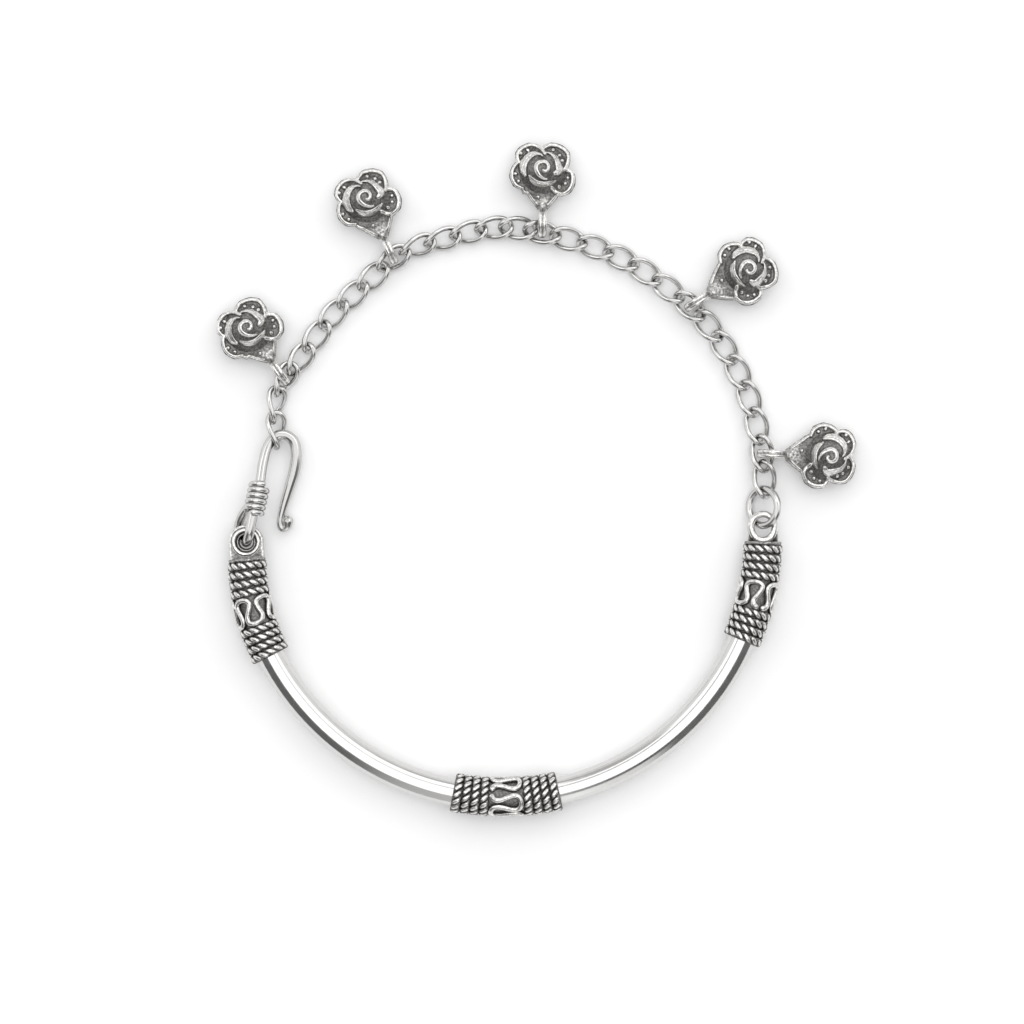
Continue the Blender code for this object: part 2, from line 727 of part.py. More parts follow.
def make_charm(index, collection, cutters):
    """One rose with its bail, its frame at the middle of its link."""
    name = f"charm_{index + 1}"
    direction, distance = CHARM_PLACES[index]
    mesh = union_mesh(name, [rose_mesh(distance * ROSE_RADIUS), bail_mesh()], cutters)
    charm = link_object(name, mesh, collection)
    place = link_place(FIRST_CHARM_LINK + CHARM_LINK_STEP * index).translation
    charm.location = (place.x, place.y, 0.0)
    charm.rotation_euler = (0.0, 0.0, math.radians(direction))
    return charm


def finish_piece(obj, colour, roughness):
    """Material and smooth shading of one piece."""
    if not obj.data.materials:
        obj.data.materials.append(silver(obj.name, colour, roughness))
    obj.data.shade_smooth()
    obj.data.set_sharp_from_angle(angle=math.radians(SHARP_ANGLE))


def put_under_root(pieces, collection):
    """Hang every piece on one empty, and set the middle of the box's base at the world's origin."""
    root = link_object("bracelet_root", None, collection)
    for piece in pieces:
        piece.parent = root
    bpy.context.view_layer.update()
    corners = []
    for piece in pieces:
        corners += [piece.matrix_world @ vertex.co for vertex in piece.data.vertices]
    low = [min(corner[k] for corner in corners) for k in range(3)]
    high = [max(corner[k] for corner in corners) for k in range(3)]
    root.location = (-(low[0] + high[0]) / 2, -(low[1] + high[1]) / 2, -low[2])


def main():
    """Build the bracelet."""
    clear_scene()
    collection = bpy.data.collections.new("bracelet")
    cutters = bpy.data.collections.new("cutters")
    bpy.context.scene.collection.children.link(collection)
    bpy.context.scene.collection.children.link(cutters)
    left_eye = (LEFT_EYE_RADIUS, LEFT_EYE_HOLE, LEFT_EYE_REACH, LEFT_EYE_THICKNESS)
    right_eye = (RIGHT_EYE_RADIUS, RIGHT_EYE_HOLE, RIGHT_EYE_REACH, RIGHT_EYE_THICKNESS)
    bangle = [
        make_bar(collection),
        make_bead(collection, cutters),
        make_cap("left_end_cap", LEFT_END_ANGLE, False, left_eye, collection, cutters),
        make_cap("right_end_cap", RIGHT_END_ANGLE, True, right_eye, collection, cutters),
    ]
    for piece in bangle:
        piece.location.z = BAR_HEIGHT
    wires = [make_hook(collection), make_coil(collection), make_jump_ring(collection)]
    links = make_chain(collection)
    charms = [make_charm(i, collection, cutters) for i in range(len(CHARM_PLACES))]
    for piece in bangle[:1] + wires + links:
        finish_piece(piece, SILVER, 0.15)
    for piece in bangle[1:] + charms:
        finish_piece(piece, DARK_SILVER, 0.35)
    put_under_root(bangle + wires + links + charms, collection)


main()
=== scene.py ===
"""Looks of the silver bracelet: polished wire, oxidised ropes and cast rose charms on a white table.

Places in the plane are worked out from the centre of the bangle's arc, as in the part's source, and
then moved by ORIGIN, which is read back from a link that lies flat.
"""
import math

import bpy
import numpy as np
from mathutils import Matrix, Vector


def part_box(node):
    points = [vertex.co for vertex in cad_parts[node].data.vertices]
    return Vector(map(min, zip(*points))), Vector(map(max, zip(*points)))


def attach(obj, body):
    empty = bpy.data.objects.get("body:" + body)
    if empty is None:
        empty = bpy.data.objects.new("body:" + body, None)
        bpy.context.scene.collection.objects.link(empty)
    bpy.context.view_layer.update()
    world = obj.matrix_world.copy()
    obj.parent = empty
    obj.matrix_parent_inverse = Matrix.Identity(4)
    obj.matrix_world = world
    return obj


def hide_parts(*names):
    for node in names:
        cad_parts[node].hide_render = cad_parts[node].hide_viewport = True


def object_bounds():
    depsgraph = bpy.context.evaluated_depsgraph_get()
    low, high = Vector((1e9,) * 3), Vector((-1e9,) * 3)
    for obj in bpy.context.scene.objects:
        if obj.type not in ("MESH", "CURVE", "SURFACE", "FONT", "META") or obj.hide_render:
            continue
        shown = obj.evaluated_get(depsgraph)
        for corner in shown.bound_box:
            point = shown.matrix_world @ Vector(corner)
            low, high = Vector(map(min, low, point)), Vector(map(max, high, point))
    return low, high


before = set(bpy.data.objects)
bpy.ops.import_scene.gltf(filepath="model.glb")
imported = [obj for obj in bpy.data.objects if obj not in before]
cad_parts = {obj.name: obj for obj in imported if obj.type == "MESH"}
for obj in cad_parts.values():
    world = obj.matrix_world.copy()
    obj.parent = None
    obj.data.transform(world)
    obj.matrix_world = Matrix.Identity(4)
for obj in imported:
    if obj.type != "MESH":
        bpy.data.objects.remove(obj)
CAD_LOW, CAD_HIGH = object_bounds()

# Sizes of the CAD, repeated
BAR_RADIUS = 0.0015
ARC_RADIUS = 0.02787
LEFT_END_ANGLE = -175.1
RIGHT_END_ANGLE = -1.1
LEFT_TUCK = 0.00045
TUCK_START = -150.0
BEAD_ANGLE = -89.2
CAP_LENGTH = 0.0109
BEAD_LENGTH = 0.0114
SOCKET_DEPTH = 0.0080
BAR_END_GAP = 0.00015
BORE_RADIUS = 0.001605
CORE_RADIUS = 0.001735
SLEEVE_RADIUS = 0.002145
BAR_HEIGHT = SLEEVE_RADIUS
ROPE_ROWS = 4
ROPE_PITCH = 0.00097
SQUIGGLE_WAVES = 6
LEFT_EYE_RADIUS = 0.00186
LEFT_EYE_HOLE = 0.00108
LEFT_EYE_REACH = 0.00175
LEFT_EYE_THICKNESS = 0.0014
RIGHT_EYE_RADIUS = 0.00163
RIGHT_EYE_HOLE = 0.00100
RIGHT_EYE_REACH = 0.00164
RIGHT_EYE_THICKNESS = 0.00072
EYE_FOOT = 0.0005
LINK_COUNT = 28
LINK_WIRE = 0.00056
LINK_WIDTH = 0.00268
LINK_CLEARANCE = 0.00034
LINK_TWIST = 50.0
LINK_SQUARENESS = 0.82
FIRST_CHARM_LINK = 3
CHARM_LINK_STEP = 6
CHAIN_BULGE = 0.033
JUMP_RING_DIAMETER = 0.00473
JUMP_RING_WIRE = 0.00078
JUMP_RING_TILT = 44.0
JUMP_RING_SLOPE = 8.0
JUMP_RING_PULL = 0.00006
HOOK_WIRE = 0.00102
HOOK_LENGTH = 0.0122
HOOK_WIDTH = 0.0036
HOOK_LEAN = 18.8
HOOK_TOP_HEIGHT = 0.00135
HOOK_TIP_HEIGHT = 0.0009
EYE_LOOP_GAP = 0.00012
COIL_WIRE = 0.00050
COIL_TURNS = 5
COIL_START = 0.262
COIL_END = 0.515
COIL_CLEARANCE = 0.00010
BAIL_LENGTH = 0.0033
BAIL_WIRE = 0.00080
BAIL_REACH = 0.00105
ROSE_RADIUS = 0.0034
ROSE_HEIGHT = 0.0044
ROSE_TILT = 10.0
ROSE_RIM_SHARE = 0.36
CHAIN_ROUTE = [
    (1, -0.023, 0.013, 0.500, 55.0), (2, -0.083, 0.102, 0.500, 58.0),
    (3, -0.111, 0.191, 0.480, 42.0), (4, -0.119, 0.263, 0.440, 24.0),
    (6, -0.126, 0.423, 0.310, 4.0), (8, -0.112, 0.558, 0.373, 8.0),
    (9, -0.104, 0.623, 0.463, 20.0), (10, -0.084, 0.669, 0.440, 38.0),
    (11, -0.060, 0.700, 0.403, 30.0), (13, -0.008, 0.750, 0.380, 20.0),
    (15, 0.034, 0.747, 0.480, 0.0), (18, 0.118, 0.685, 0.277, 0.0),
    (21, 0.167, 0.547, 0.486, 0.0), (23, 0.166, 0.426, 0.292, 0.0),
    (25, 0.131, 0.274, 0.322, 0.0), (27, 0.057, 0.109, 0.493, 0.0),
    (28, 0.006, 0.032, 0.590, 0.0),
]
HOOK_FIGURE = [
    (0.135, 0.00, 0.00, 1.00), (0.265, -0.06, 0.07, 1.00), (0.400, -0.11, 0.20, 1.00),
    (0.535, -0.17, 0.36, 1.00), (0.700, -0.28, 0.60, 1.00), (0.850, -0.32, 0.84, 1.00),
    (0.955, -0.21, 0.97, 1.02), (1.000, 0.04, 1.00, 1.05), (0.970, 0.36, 1.00, 1.08),
    (0.860, 0.57, 1.00, 1.12), (0.720, 0.66, 1.28, 1.14), (0.545, 0.68, 1.46, 1.00),
    (0.380, 0.70, 1.62, 0.82), (0.260, 0.75, 1.73, 0.68), (0.212, 0.86, 1.78, 0.68),
    (0.242, 0.97, 1.74, 0.90), (0.288, 0.955, 1.69, 1.14),
]
EYE_LOOP_FIGURE = [
    (1.05, 0.97, 0.20, 0.86), (0.64, 0.93, -0.02, 0.90), (0.27, 0.54, 0.00, 0.96),
    (0.04, 0.12, 0.22, 1.00), (0.00, 0.00, 0.50, 1.00), (0.12, -0.05, 0.77, 1.00),
    (0.45, -0.08, 0.96, 1.00),
]
FOOT_END_FIGURE = [(-1.4, 0.62, 0.40, 0.72), (-0.1, 0.83, 0.42, 0.80)]
CHARM_PLACES = [(125.0, 1.97), (114.0, 2.06), (89.0, 1.97), (32.0, 2.15), (-3.0, 2.09)]

# Sizes of the looks. Shine is 1 on bright metal and 0 in the dark; on the oxidised pieces it marks
# rubbed metal, on the polished wires it carries painted shade and painted reflection lines.
# Ropes: twists round the sleeve, and how far a strand swings across the row and in and out
BEAD_ROPE = (8, 0.00027, 0.00021)
CAP_ROPE = (7, 0.00022, 0.00015)
STRAND_RADIUS = 0.00026
ROPE_FLAT = 0.00006
ROPE_RUBBED = 0.00009
ROPE_BRIGHT = 0.00001
ROW_PHASE = 1.15
CORE_SHINE = 0.12
CORE_SINK = 0.0001
# The collar of a cap: its height, and its profile inward from the sleeve's skin and down from its top
COLLAR = 0.00030
COLLAR_SHINE = 0.42
COLLAR_PROFILE = [(0.00030, 0.0), (0.00018, 0.00006), (0.00014, 0.00014), (0.00016, COLLAR),
                  (0.00040, COLLAR + 0.0001)]
ZONE_SHIFT = 0.00026
SQUIGGLE_WIRE = 0.00058
SQUIGGLE_SINK = 0.00012
SQUIGGLE_LAP = 0.00006
SQUIGGLE_LOOP = 0.215
SQUIGGLE_STEPS = 18
SQUIGGLE_KNOB = 0.16
# Depth of the painted reflection line along the serpentine wire's crest
SQUIGGLE_PAINTED_REFLECTION = 0.42
SEAM = 0.10
# Turns of the serpentine wires that are seen, in degrees round the sleeve: where they start, whether
# the first one points to the sleeve's top, and which turn is left open by the wire's two ends
BEAD_TURNS = ([36.0, 73.0, 107.0, 143.0, 170.0], True, 2)
LEFT_TURNS = ([22.0, 62.0, 88.0, 134.0, 162.0], False, None)
RIGHT_TURNS = ([-148.0, -102.0, -75.0, -33.0], False, 2)
LEFT_EYE = (LEFT_EYE_RADIUS, LEFT_EYE_HOLE, LEFT_EYE_REACH)
LEFT_EYE_WIRE = 0.00024
LEFT_EYE_BEAD = 0.00012
RIGHT_EYE = (RIGHT_EYE_RADIUS, RIGHT_EYE_HOLE, RIGHT_EYE_REACH)
RIGHT_EYE_BAND = 0.00036
RIGHT_EYE_INSET = 0.00010
RIGHT_EYE_STRETCH = 1.28
# Painted light on the polished wires by how far they face up: the shine of their painted-shade sides,
# and the depth of a painted reflection line along their tops
WIRE_SIDE_PAINTED_SHADE = 0.62
WIRE_PAINTED_REFLECTION = 0.58
HOOK_SWELL = 1.05
COIL_SWELL = 0.00017
COIL_STEPS = 40
# Shine of the coil's wire: a low painted-shade level on its sides and underside, and a painted highlight
# added on its top
COIL_PAINTED_LIGHT = (0.35, 0.50)
# Wires of a bail, in bail wires: place across it, radius, and shine; the middle wire's lower shine is a
# painted reflection line along the bail
BAIL_WIRES = [(-0.24, 0.33, 1.0), (0.24, 0.33, 1.0), (0.0, 0.46, 0.42)]
UP = Vector((0.0, 0.0, 1.0))
MM = 0.001

# Colours of the silver: polished, with painted shade on the sides of its wires and painted reflection
# lines on their tops, and painted shade in its crevices; then the oxidised ground in its crevices and in
# the open, and the rubbed metal where it is dull and where it is bright
POLISHED = (0.70, 0.695, 0.685)
POLISHED_WEAR = 0.97
POLISHED_PAINTED_SHADE = (0.25, 0.247, 0.242, 1.0)
POLISHED_CREVICE_PAINTED_SHADE = (0.12, 0.117, 0.113, 1.0)
POLISHED_ROUGHNESS = 0.12
GROUND_DARK = (0.100, 0.097, 0.093, 1.0)
GROUND_OPEN = (0.26, 0.255, 0.248, 1.0)
RUBBED_DULL = (0.58, 0.573, 0.56, 1.0)
RUBBED_BRIGHT = (0.86, 0.85, 0.83, 1.0)
GRAIN_SPREAD = 0.9

# The studio's light by direction
OVERHEAD = 1.75
BACK_WALL = 0.95
LAMP = 0.80
LINE_DEPTH = 1.0
SHADE_DEPTH = 1.2
FRONT_TURN = -95.0
LAMP_TURN = -67.0
SHADE_TURN = 118.0

# The camera stands where the photo was taken from
CAMERA_LENS = 150.0
CAMERA_SENSOR = 36.0
CAMERA_PLACE = (-0.00277, -0.00359, 0.4585)

# The rose's mould, about the middle of its spiral: degrees from outward, and radius in millimetres.
# Spiral and crescents add their width, petals are given by their outer edge.
ROSE_SPIRAL = [
    (-180, 0.22, 0.40), (-122, 0.42, 0.46), (-22, 0.70, 0.52), (58, 0.82, 0.54), (113, 0.79, 0.52),
    (156, 0.91, 0.45), (198, 1.22, 0.26),
]
ROSE_CRESCENTS = [
    [(-112, 1.33, 0.50), (-96, 1.69, 0.90), (-70, 1.66, 0.78), (-36, 1.84, 0.50), (-3, 1.78, 0.16)],
    [(4, 1.32, 0.20), (25, 1.81, 0.50), (44, 2.06, 0.82), (69, 2.21, 0.90), (92, 2.21, 0.82),
     (110, 2.07, 0.40)],
    [(118, 1.70, 0.29), (141, 1.73, 0.65), (172, 1.70, 0.70), (200, 1.72, 0.57), (225, 1.85, 0.29)],
]
ROSE_PETAL_RIMS = [
    (0.40, [(3, 2.41), (-15, 2.92), (-38, 3.21), (-55, 3.28), (-74, 2.87), (-92, 2.43)]),
    (0.50, [(-88, 2.62), (-97, 3.30), (-115, 3.68), (-130, 3.72), (-146, 3.34), (-155, 2.50)]),
    (0.40, [(-5, 1.85), (12, 2.63), (30, 3.19), (49, 3.43), (60, 3.40), (73, 3.00)]),
    (0.40, [(74, 2.94), (87, 3.33), (102, 3.62), (120, 3.57), (133, 3.13)]),
]
ROSE_GRANULES = [
    (-26, 2.37), (-48, 2.33), (-64, 2.24), (-108, 2.75), (-122, 2.78), (-137, 2.54), (40, 2.67),
    (55, 2.95), (100, 3.01), (116, 2.92), (170, 3.00),
]
# The rose's ground by distance from its middle in rose radii, and its height there in rose heights
ROSE_GROUND = (
    [0.0, 0.15, 0.30, 0.45, 0.58, 0.76, 0.92, 1.05],
    [0.90, 0.91, 0.83, 0.77, 0.62, 0.50, 0.49, 0.47],
)
# Its edge by share of the rim and drop in metres, and its back by share of the rim, height, shine
ROSE_EDGE = [(1.010, 0.00008), (1.008, 0.00026)]
ROSE_BACK = [
    (0.96, 0.34, 0.35), (0.86, 0.27, 0.25), (0.66, 0.14, 0.3), (0.50, 0.07, 0.5), (0.34, 0.02, 0.6),
    (0.15, 0.0, 0.6),
]
ROSE_AROUND = 360
ROSE_OUT = 76
EDGE_SHINE = 0.6
BACK_THINNEST = 0.0003
INNER_REACH = 2.35
RIM_SWELL = 1.05
RIM_SHARE = 1.025
RIM_RISE = 0.00030
SPIRAL_RISE = 0.00032
CRESCENT_RISE = 0.00036
SCRATCH_RISE = 0.00004
SCRATCH_PITCH = 0.00024
SCRATCH_SHINE = 0.42
GRANULE_RADIUS = 0.00023
GRANULE_RISE = 0.00024
GRANULE_SHINE = 0.85
# The rose's neck: how far it starts from the middle, its crown, its underside, its two side ridges
NECK_START = 0.0022
NECK_BLEND = 0.0030
NECK_TIP = 0.25
NECK_CROWN = 0.00055
NECK_BELLY = 0.00045
NECK_SHINE = (0.12, 0.34)
RIDGE_RISE = 0.00018
RIDGE_SHINE = 0.9
RIDGE_SHARE = (0.94, 0.055)


def smooth_through(points, steps):
    """Points on a smooth curve through the given ones, with so many steps in each stretch."""
    ends = [2 * points[0] - points[1]] + list(points) + [2 * points[-1] - points[-2]]
    result = []
    for i in range(1, len(ends) - 2):
        before, start, end, after = ends[i - 1:i + 3]
        for step in range(steps):
            t = step / steps
            value = start * (2 * t ** 3 - 3 * t ** 2 + 1) + end * (3 * t ** 2 - 2 * t ** 3)
            value = value + (end - before) / 2 * (t ** 3 - 2 * t ** 2 + t)
            result.append(value + (after - start) / 2 * (t ** 3 - t ** 2))
    result.append(points[-1])
    return result


def even_points(points, spacing):
    """The same line with its points an even distance apart."""
    lengths = [0.0]
    for a, b in zip(points, points[1:]):
        lengths.append(lengths[-1] + (b - a).to_3d().length)
    count = max(2, round(lengths[-1] / spacing))
    result = []
    place = 0
    for i in range(count + 1):
        target = lengths[-1] * i / count
        while place < len(points) - 2 and lengths[place + 1] < target:
            place += 1
        share = (target - lengths[place]) / max(lengths[place + 1] - lengths[place], 1e-12)
        result.append(points[place].lerp(points[place + 1], share))
    return result


def on_arc(angle, radial=0.0, height=0.0):
    """Points at an angle along the bangle's arc, so far out from the bar's centre line."""
    angle = np.asarray(angle, float)
    turn = np.radians(angle)
    tucked = np.clip((TUCK_START - angle) / (TUCK_START - LEFT_END_ANGLE), 0.0, 1.0)
    reach = ARC_RADIUS + radial - LEFT_TUCK * tucked ** 2
    return np.stack([reach * np.cos(turn), reach * np.sin(turn), height + 0.0 * reach], axis=-1)


def arc_degrees(length):
    """The angle that a length takes up along the arc."""
    return np.degrees(length / ARC_RADIUS)


def eye_centre(end_angle, reach, outward_turn):
    """Middle of an eye's hole, past the end of its cap."""
    return Vector(on_arc(end_angle + outward_turn * arc_degrees(reach)))


def hook_place():
    """The hook's frame: its middle line leans outward to the right of +Y."""
    hole = eye_centre(LEFT_END_ANGLE, LEFT_EYE_REACH, -1.0)
    turn = Matrix.Rotation(math.radians(90.0 - HOOK_LEAN), 4, "Z")
    return Matrix.Translation((hole.x, hole.y, 0.0)) @ turn


def chain_ends():
    """The points that carry the chain: the top of the hook, and the far side of the jump ring."""
    hole = eye_centre(RIGHT_END_ANGLE, RIGHT_EYE_REACH, 1.0)
    top = hook_place() @ Vector((HOOK_LENGTH, 0.0, 0.0))
    return top, hole + Vector((0.0, JUMP_RING_DIAMETER - JUMP_RING_WIRE, 0.0))


def route_at(number):
    """Place, height and roll at a link number along the chain's route."""
    hook_end, ring_end = chain_ends()
    last = len(CHAIN_ROUTE) - 1
    numbers = [row[0] for row in CHAIN_ROUTE]
    knots = []
    for knot, x, y, height, roll in CHAIN_ROUTE:
        middle = hook_end.lerp(ring_end, (knot - 1) / (LINK_COUNT - 1))
        knots.append(Vector((middle.x + x * CHAIN_BULGE, middle.y + y * CHAIN_BULGE,
                             height * LINK_WIDTH, roll)))
    i = 0
    while i < last - 1 and numbers[i + 1] <= number:
        i += 1

    def slope(k):
        before = max(k - 1, 0)
        after = min(k + 1, last)
        return (knots[after] - knots[before]) / (numbers[after] - numbers[before])

    span = numbers[i + 1] - numbers[i]
    t = (number - numbers[i]) / span
    rise, fall = slope(i) * span, slope(i + 1) * span
    value = knots[i] * (2 * t ** 3 - 3 * t ** 2 + 1) + knots[i + 1] * (3 * t ** 2 - 2 * t ** 3)
    return value + rise * (t ** 3 - 2 * t ** 2 + t) + fall * (t ** 3 - t ** 2)


def link_place(number):
    """Placing of a link: +X clockwise along the chain, +Y outward, rolled about +X."""
    x, y, height, roll = route_at(number)
    ahead = route_at(min(number + 1, LINK_COUNT)) - route_at(max(number - 1, 1))
    heading = Vector((ahead[0], ahead[1], 0.0)).normalized()
    turned = Matrix((heading, UP.cross(heading), UP)).transposed().to_4x4()
    return Matrix.Translation((x, y, height)) @ turned @ Matrix.Rotation(math.radians(roll), 4, "X")


def flat_link_origin(number):
    """Where the arc's centre is in the frame, from a link that lies flat."""
    low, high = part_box(f"link_{number:02d}")
    place = route_at(number)
    return np.array([(low[k] + high[k]) / 2 - place[k] for k in range(3)])


FLAT_LINK = 18
ORIGIN = flat_link_origin(FLAT_LINK)


class Shape:
    """Points, faces and shine of one piece, gathered from several bodies."""

    def __init__(self):
        self.points = []
        self.faces = []
        self.shine = []
        self.count = 0

    def add(self, points, faces, shine=1.0):
        """Put in one more body; shine is 1 on polished metal and 0 in the dark."""
        points = np.asarray(points, float).reshape(-1, 3)
        self.points.append(points)
        self.shine.append(np.broadcast_to(np.asarray(shine, float).ravel(), len(points)))
        for group in faces:
            self.faces.append(np.asarray(group, int) + self.count)
        self.count += len(points)


def shifted(points):
    """From the arc's frame to the object's, kept inside the CAD's box."""
    return np.clip(np.asarray(points, float) + ORIGIN, CAD_LOW, CAD_HIGH)


def moved(matrix, points):
    """Points turned and moved by a matrix."""
    m = np.array(matrix)
    return np.asarray(points, float) @ m[:3, :3].T + m[:3, 3]


def grid_faces(rows, columns, around_rows=False, around_columns=True):
    """Quads of a grid of points, row by row, that may close on itself."""
    i = np.arange(rows if around_rows else rows - 1)[:, None]
    j = np.arange(columns if around_columns else columns - 1)[None, :]
    k = (j + 1) % columns
    n = (i + 1) % rows
    quads = np.stack([i * columns + j, i * columns + k, n * columns + k, n * columns + j], axis=-1)
    return quads.reshape(-1, 4)


def sweep(points, radii, sides, closed=False, up=(0.0, 0.0, 1.0)):
    """Points, faces and upward share of a round wire; an open one gets round ends."""
    p = np.array([tuple(point)[:3] for point in points], float)
    r = np.array(np.broadcast_to(radii, len(p)), float)
    if not closed:
        steps = np.radians([78.0, 60.0, 42.0, 24.0, 10.0])
        first = (p[1] - p[0]) / np.linalg.norm(p[1] - p[0])
        last = (p[-1] - p[-2]) / np.linalg.norm(p[-1] - p[-2])
        head = p[0] - first * (r[0] * np.sin(steps))[:, None]
        tail = p[-1] + last * (r[-1] * np.sin(steps[::-1]))[:, None]
        p = np.concatenate([head, p, tail])
        r = np.concatenate([r[0] * np.cos(steps), r, r[-1] * np.cos(steps[::-1])])
    t = np.roll(p, -1, 0) - np.roll(p, 1, 0)
    if not closed:
        t[0], t[-1] = p[1] - p[0], p[-1] - p[-2]
    t /= np.linalg.norm(t, axis=1)[:, None]
    n = np.zeros_like(p)
    side = np.cross(t[0], (0.0, 0.0, 1.0))
    if np.linalg.norm(side) < 0.1:
        side = np.cross(t[0], (1.0, 0.0, 0.0))
    n[0] = side / np.linalg.norm(side)
    for i in range(1, len(p)):
        v = n[i - 1] - t[i] * np.dot(n[i - 1], t[i])
        n[i] = v / np.linalg.norm(v)
    b = np.cross(t, n)
    spin = np.zeros(len(p))
    if closed:
        v = n[-1] - t[0] * np.dot(n[-1], t[0])
        miss = math.atan2(np.dot(v, b[0]), np.dot(v, n[0]))
        spin = -miss * np.arange(len(p)) / len(p)
    turn = np.arange(sides) * 2 * np.pi / sides
    a = turn[None, :] + spin[:, None]
    out = n[:, None, :] * np.cos(a)[:, :, None] + b[:, None, :] * np.sin(a)[:, :, None]
    rise = (out @ np.array(up)).ravel()
    verts = (p[:, None, :] + r[:, None, None] * out).reshape(-1, 3)
    faces = [grid_faces(len(p), sides, around_rows=closed)]
    if not closed:
        verts = np.concatenate([verts, [p[0] - t[0] * r[0] * 0.1], [p[-1] + t[-1] * r[-1] * 0.1]])
        rise = np.concatenate([rise, [0.0, 0.0]])
        j = np.arange(sides)
        k = (j + 1) % sides
        start = len(p) * sides
        far = (len(p) - 1) * sides
        faces.append(np.stack([np.full(sides, start), k, j], axis=-1))
        faces.append(np.stack([np.full(sides, start + 1), far + j, far + k], axis=-1))
    return verts, faces, rise


def step(value, low, high):
    """From 0 to 1 smoothly as the value goes from low to high."""
    t = np.clip((value - low) / (high - low), 0.0, 1.0)
    return t * t * (3 - 2 * t)


def painted_wire_light(rise):
    """Shine of a drawn wire with painted light: painted shade greys its sides, which face away from up,
    and a painted reflection makes a fine grey line along its top.
    """
    sides = WIRE_SIDE_PAINTED_SHADE + (1 - WIRE_SIDE_PAINTED_SHADE) * step(rise, 0.55, 0.76)
    return sides - WIRE_PAINTED_REFLECTION * step(rise, 0.945, 0.985)


def piece(name, shape, material, node):
    """One object of the gathered shape, on the body, in place of its CAD node."""
    points = np.concatenate(shape.points)
    mesh = bpy.data.meshes.new(name)
    mesh.vertices.add(len(points))
    mesh.vertices.foreach_set("co", points.ravel())
    loops = np.concatenate([group.ravel() for group in shape.faces])
    sizes = np.concatenate([np.full(len(group), group.shape[1]) for group in shape.faces])
    mesh.loops.add(len(loops))
    mesh.loops.foreach_set("vertex_index", loops)
    mesh.polygons.add(len(sizes))
    mesh.polygons.foreach_set("loop_start", np.concatenate([[0], np.cumsum(sizes)[:-1]]))
    mesh.update(calc_edges=True)
    shine = mesh.attributes.new("shine", "FLOAT", "POINT")
    shine.data.foreach_set("value", np.concatenate(shape.shine))
    mesh.validate()
    mesh.shade_smooth()
    mesh.materials.append(material)
    obj = bpy.data.objects.new(name, mesh)
    bpy.context.scene.collection.objects.link(obj)
    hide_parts(node)
    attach(obj, "root")


def set_up(material):
    """A material's node tree and its shader."""
    material.use_nodes = True
    return material.node_tree, material.node_tree.nodes["Principled BSDF"]


def join(tree, source, target):
    """A link from a socket to an input; a plain number is set as its value."""
    if isinstance(source, (int, float, tuple)):
        target.default_value = source
    else:
        tree.links.new(source, target)


def maths(tree, operation, a, b=0.0, c=0.0):
    """The result of a maths node."""
    node = tree.nodes.new("ShaderNodeMath")
    node.operation = operation
    for value, socket in zip((a, b, c), node.inputs):
        join(tree, value, socket)
    return node.outputs[0]


def times(tree, a, b):
    """The product of two values."""
    return maths(tree, "MULTIPLY", a, b)


def ramp(tree, value, low, high, start=0.0, end=1.0):
    """The value taken smoothly from start to end as it goes from low to high."""
    node = tree.nodes.new("ShaderNodeMapRange")
    node.interpolation_type = "SMOOTHSTEP"
    for name, number in (("From Min", low), ("From Max", high), ("To Min", start), ("To Max", end)):
        node.inputs[name].default_value = number
    join(tree, value, node.inputs["Value"])
    return node.outputs["Result"]


def mixed(tree, factor, a, b):
    """The value that goes from a to b with the factor."""
    return maths(tree, "MULTIPLY_ADD", factor, maths(tree, "SUBTRACT", b, a), a)


def noise(tree, scale, detail):
    """The value of a noise that is fixed to the object."""
    node = tree.nodes.new("ShaderNodeTexNoise")
    node.inputs["Scale"].default_value = scale
    node.inputs["Detail"].default_value = detail
    place = tree.nodes.new("ShaderNodeTexCoord").outputs["Object"]
    tree.links.new(place, node.inputs["Vector"])
    return node.outputs["Fac"]


def blend(tree, factor, a, b):
    """A mix of two colours."""
    node = tree.nodes.new("ShaderNodeMix")
    node.data_type = "RGBA"
    join(tree, factor, node.inputs["Factor"])
    join(tree, a, node.inputs["A"])
    join(tree, b, node.inputs["B"])
    return node.outputs["Result"]


def crevice(tree, distance):
    """1 in the open and 0 deep in a crevice."""
    node = tree.nodes.new("ShaderNodeAmbientOcclusion")
    node.inputs["Distance"].default_value = distance
    node.samples = 8
    return node.outputs["AO"]


def stored_shine(tree):
    """The shine that is stored on the points of a piece."""
    node = tree.nodes.new("ShaderNodeAttribute")
    node.attribute_name = "shine"
    return node.outputs["Fac"]


def add_bump(tree, shader, height, strength, distance):
    """A fine relief on the shader."""
    node = tree.nodes.new("ShaderNodeBump")
    node.inputs["Strength"].default_value = strength
    node.inputs["Distance"].default_value = distance
    tree.links.new(height, node.inputs["Height"])
    tree.links.new(node.outputs["Normal"], shader.inputs["Normal"])


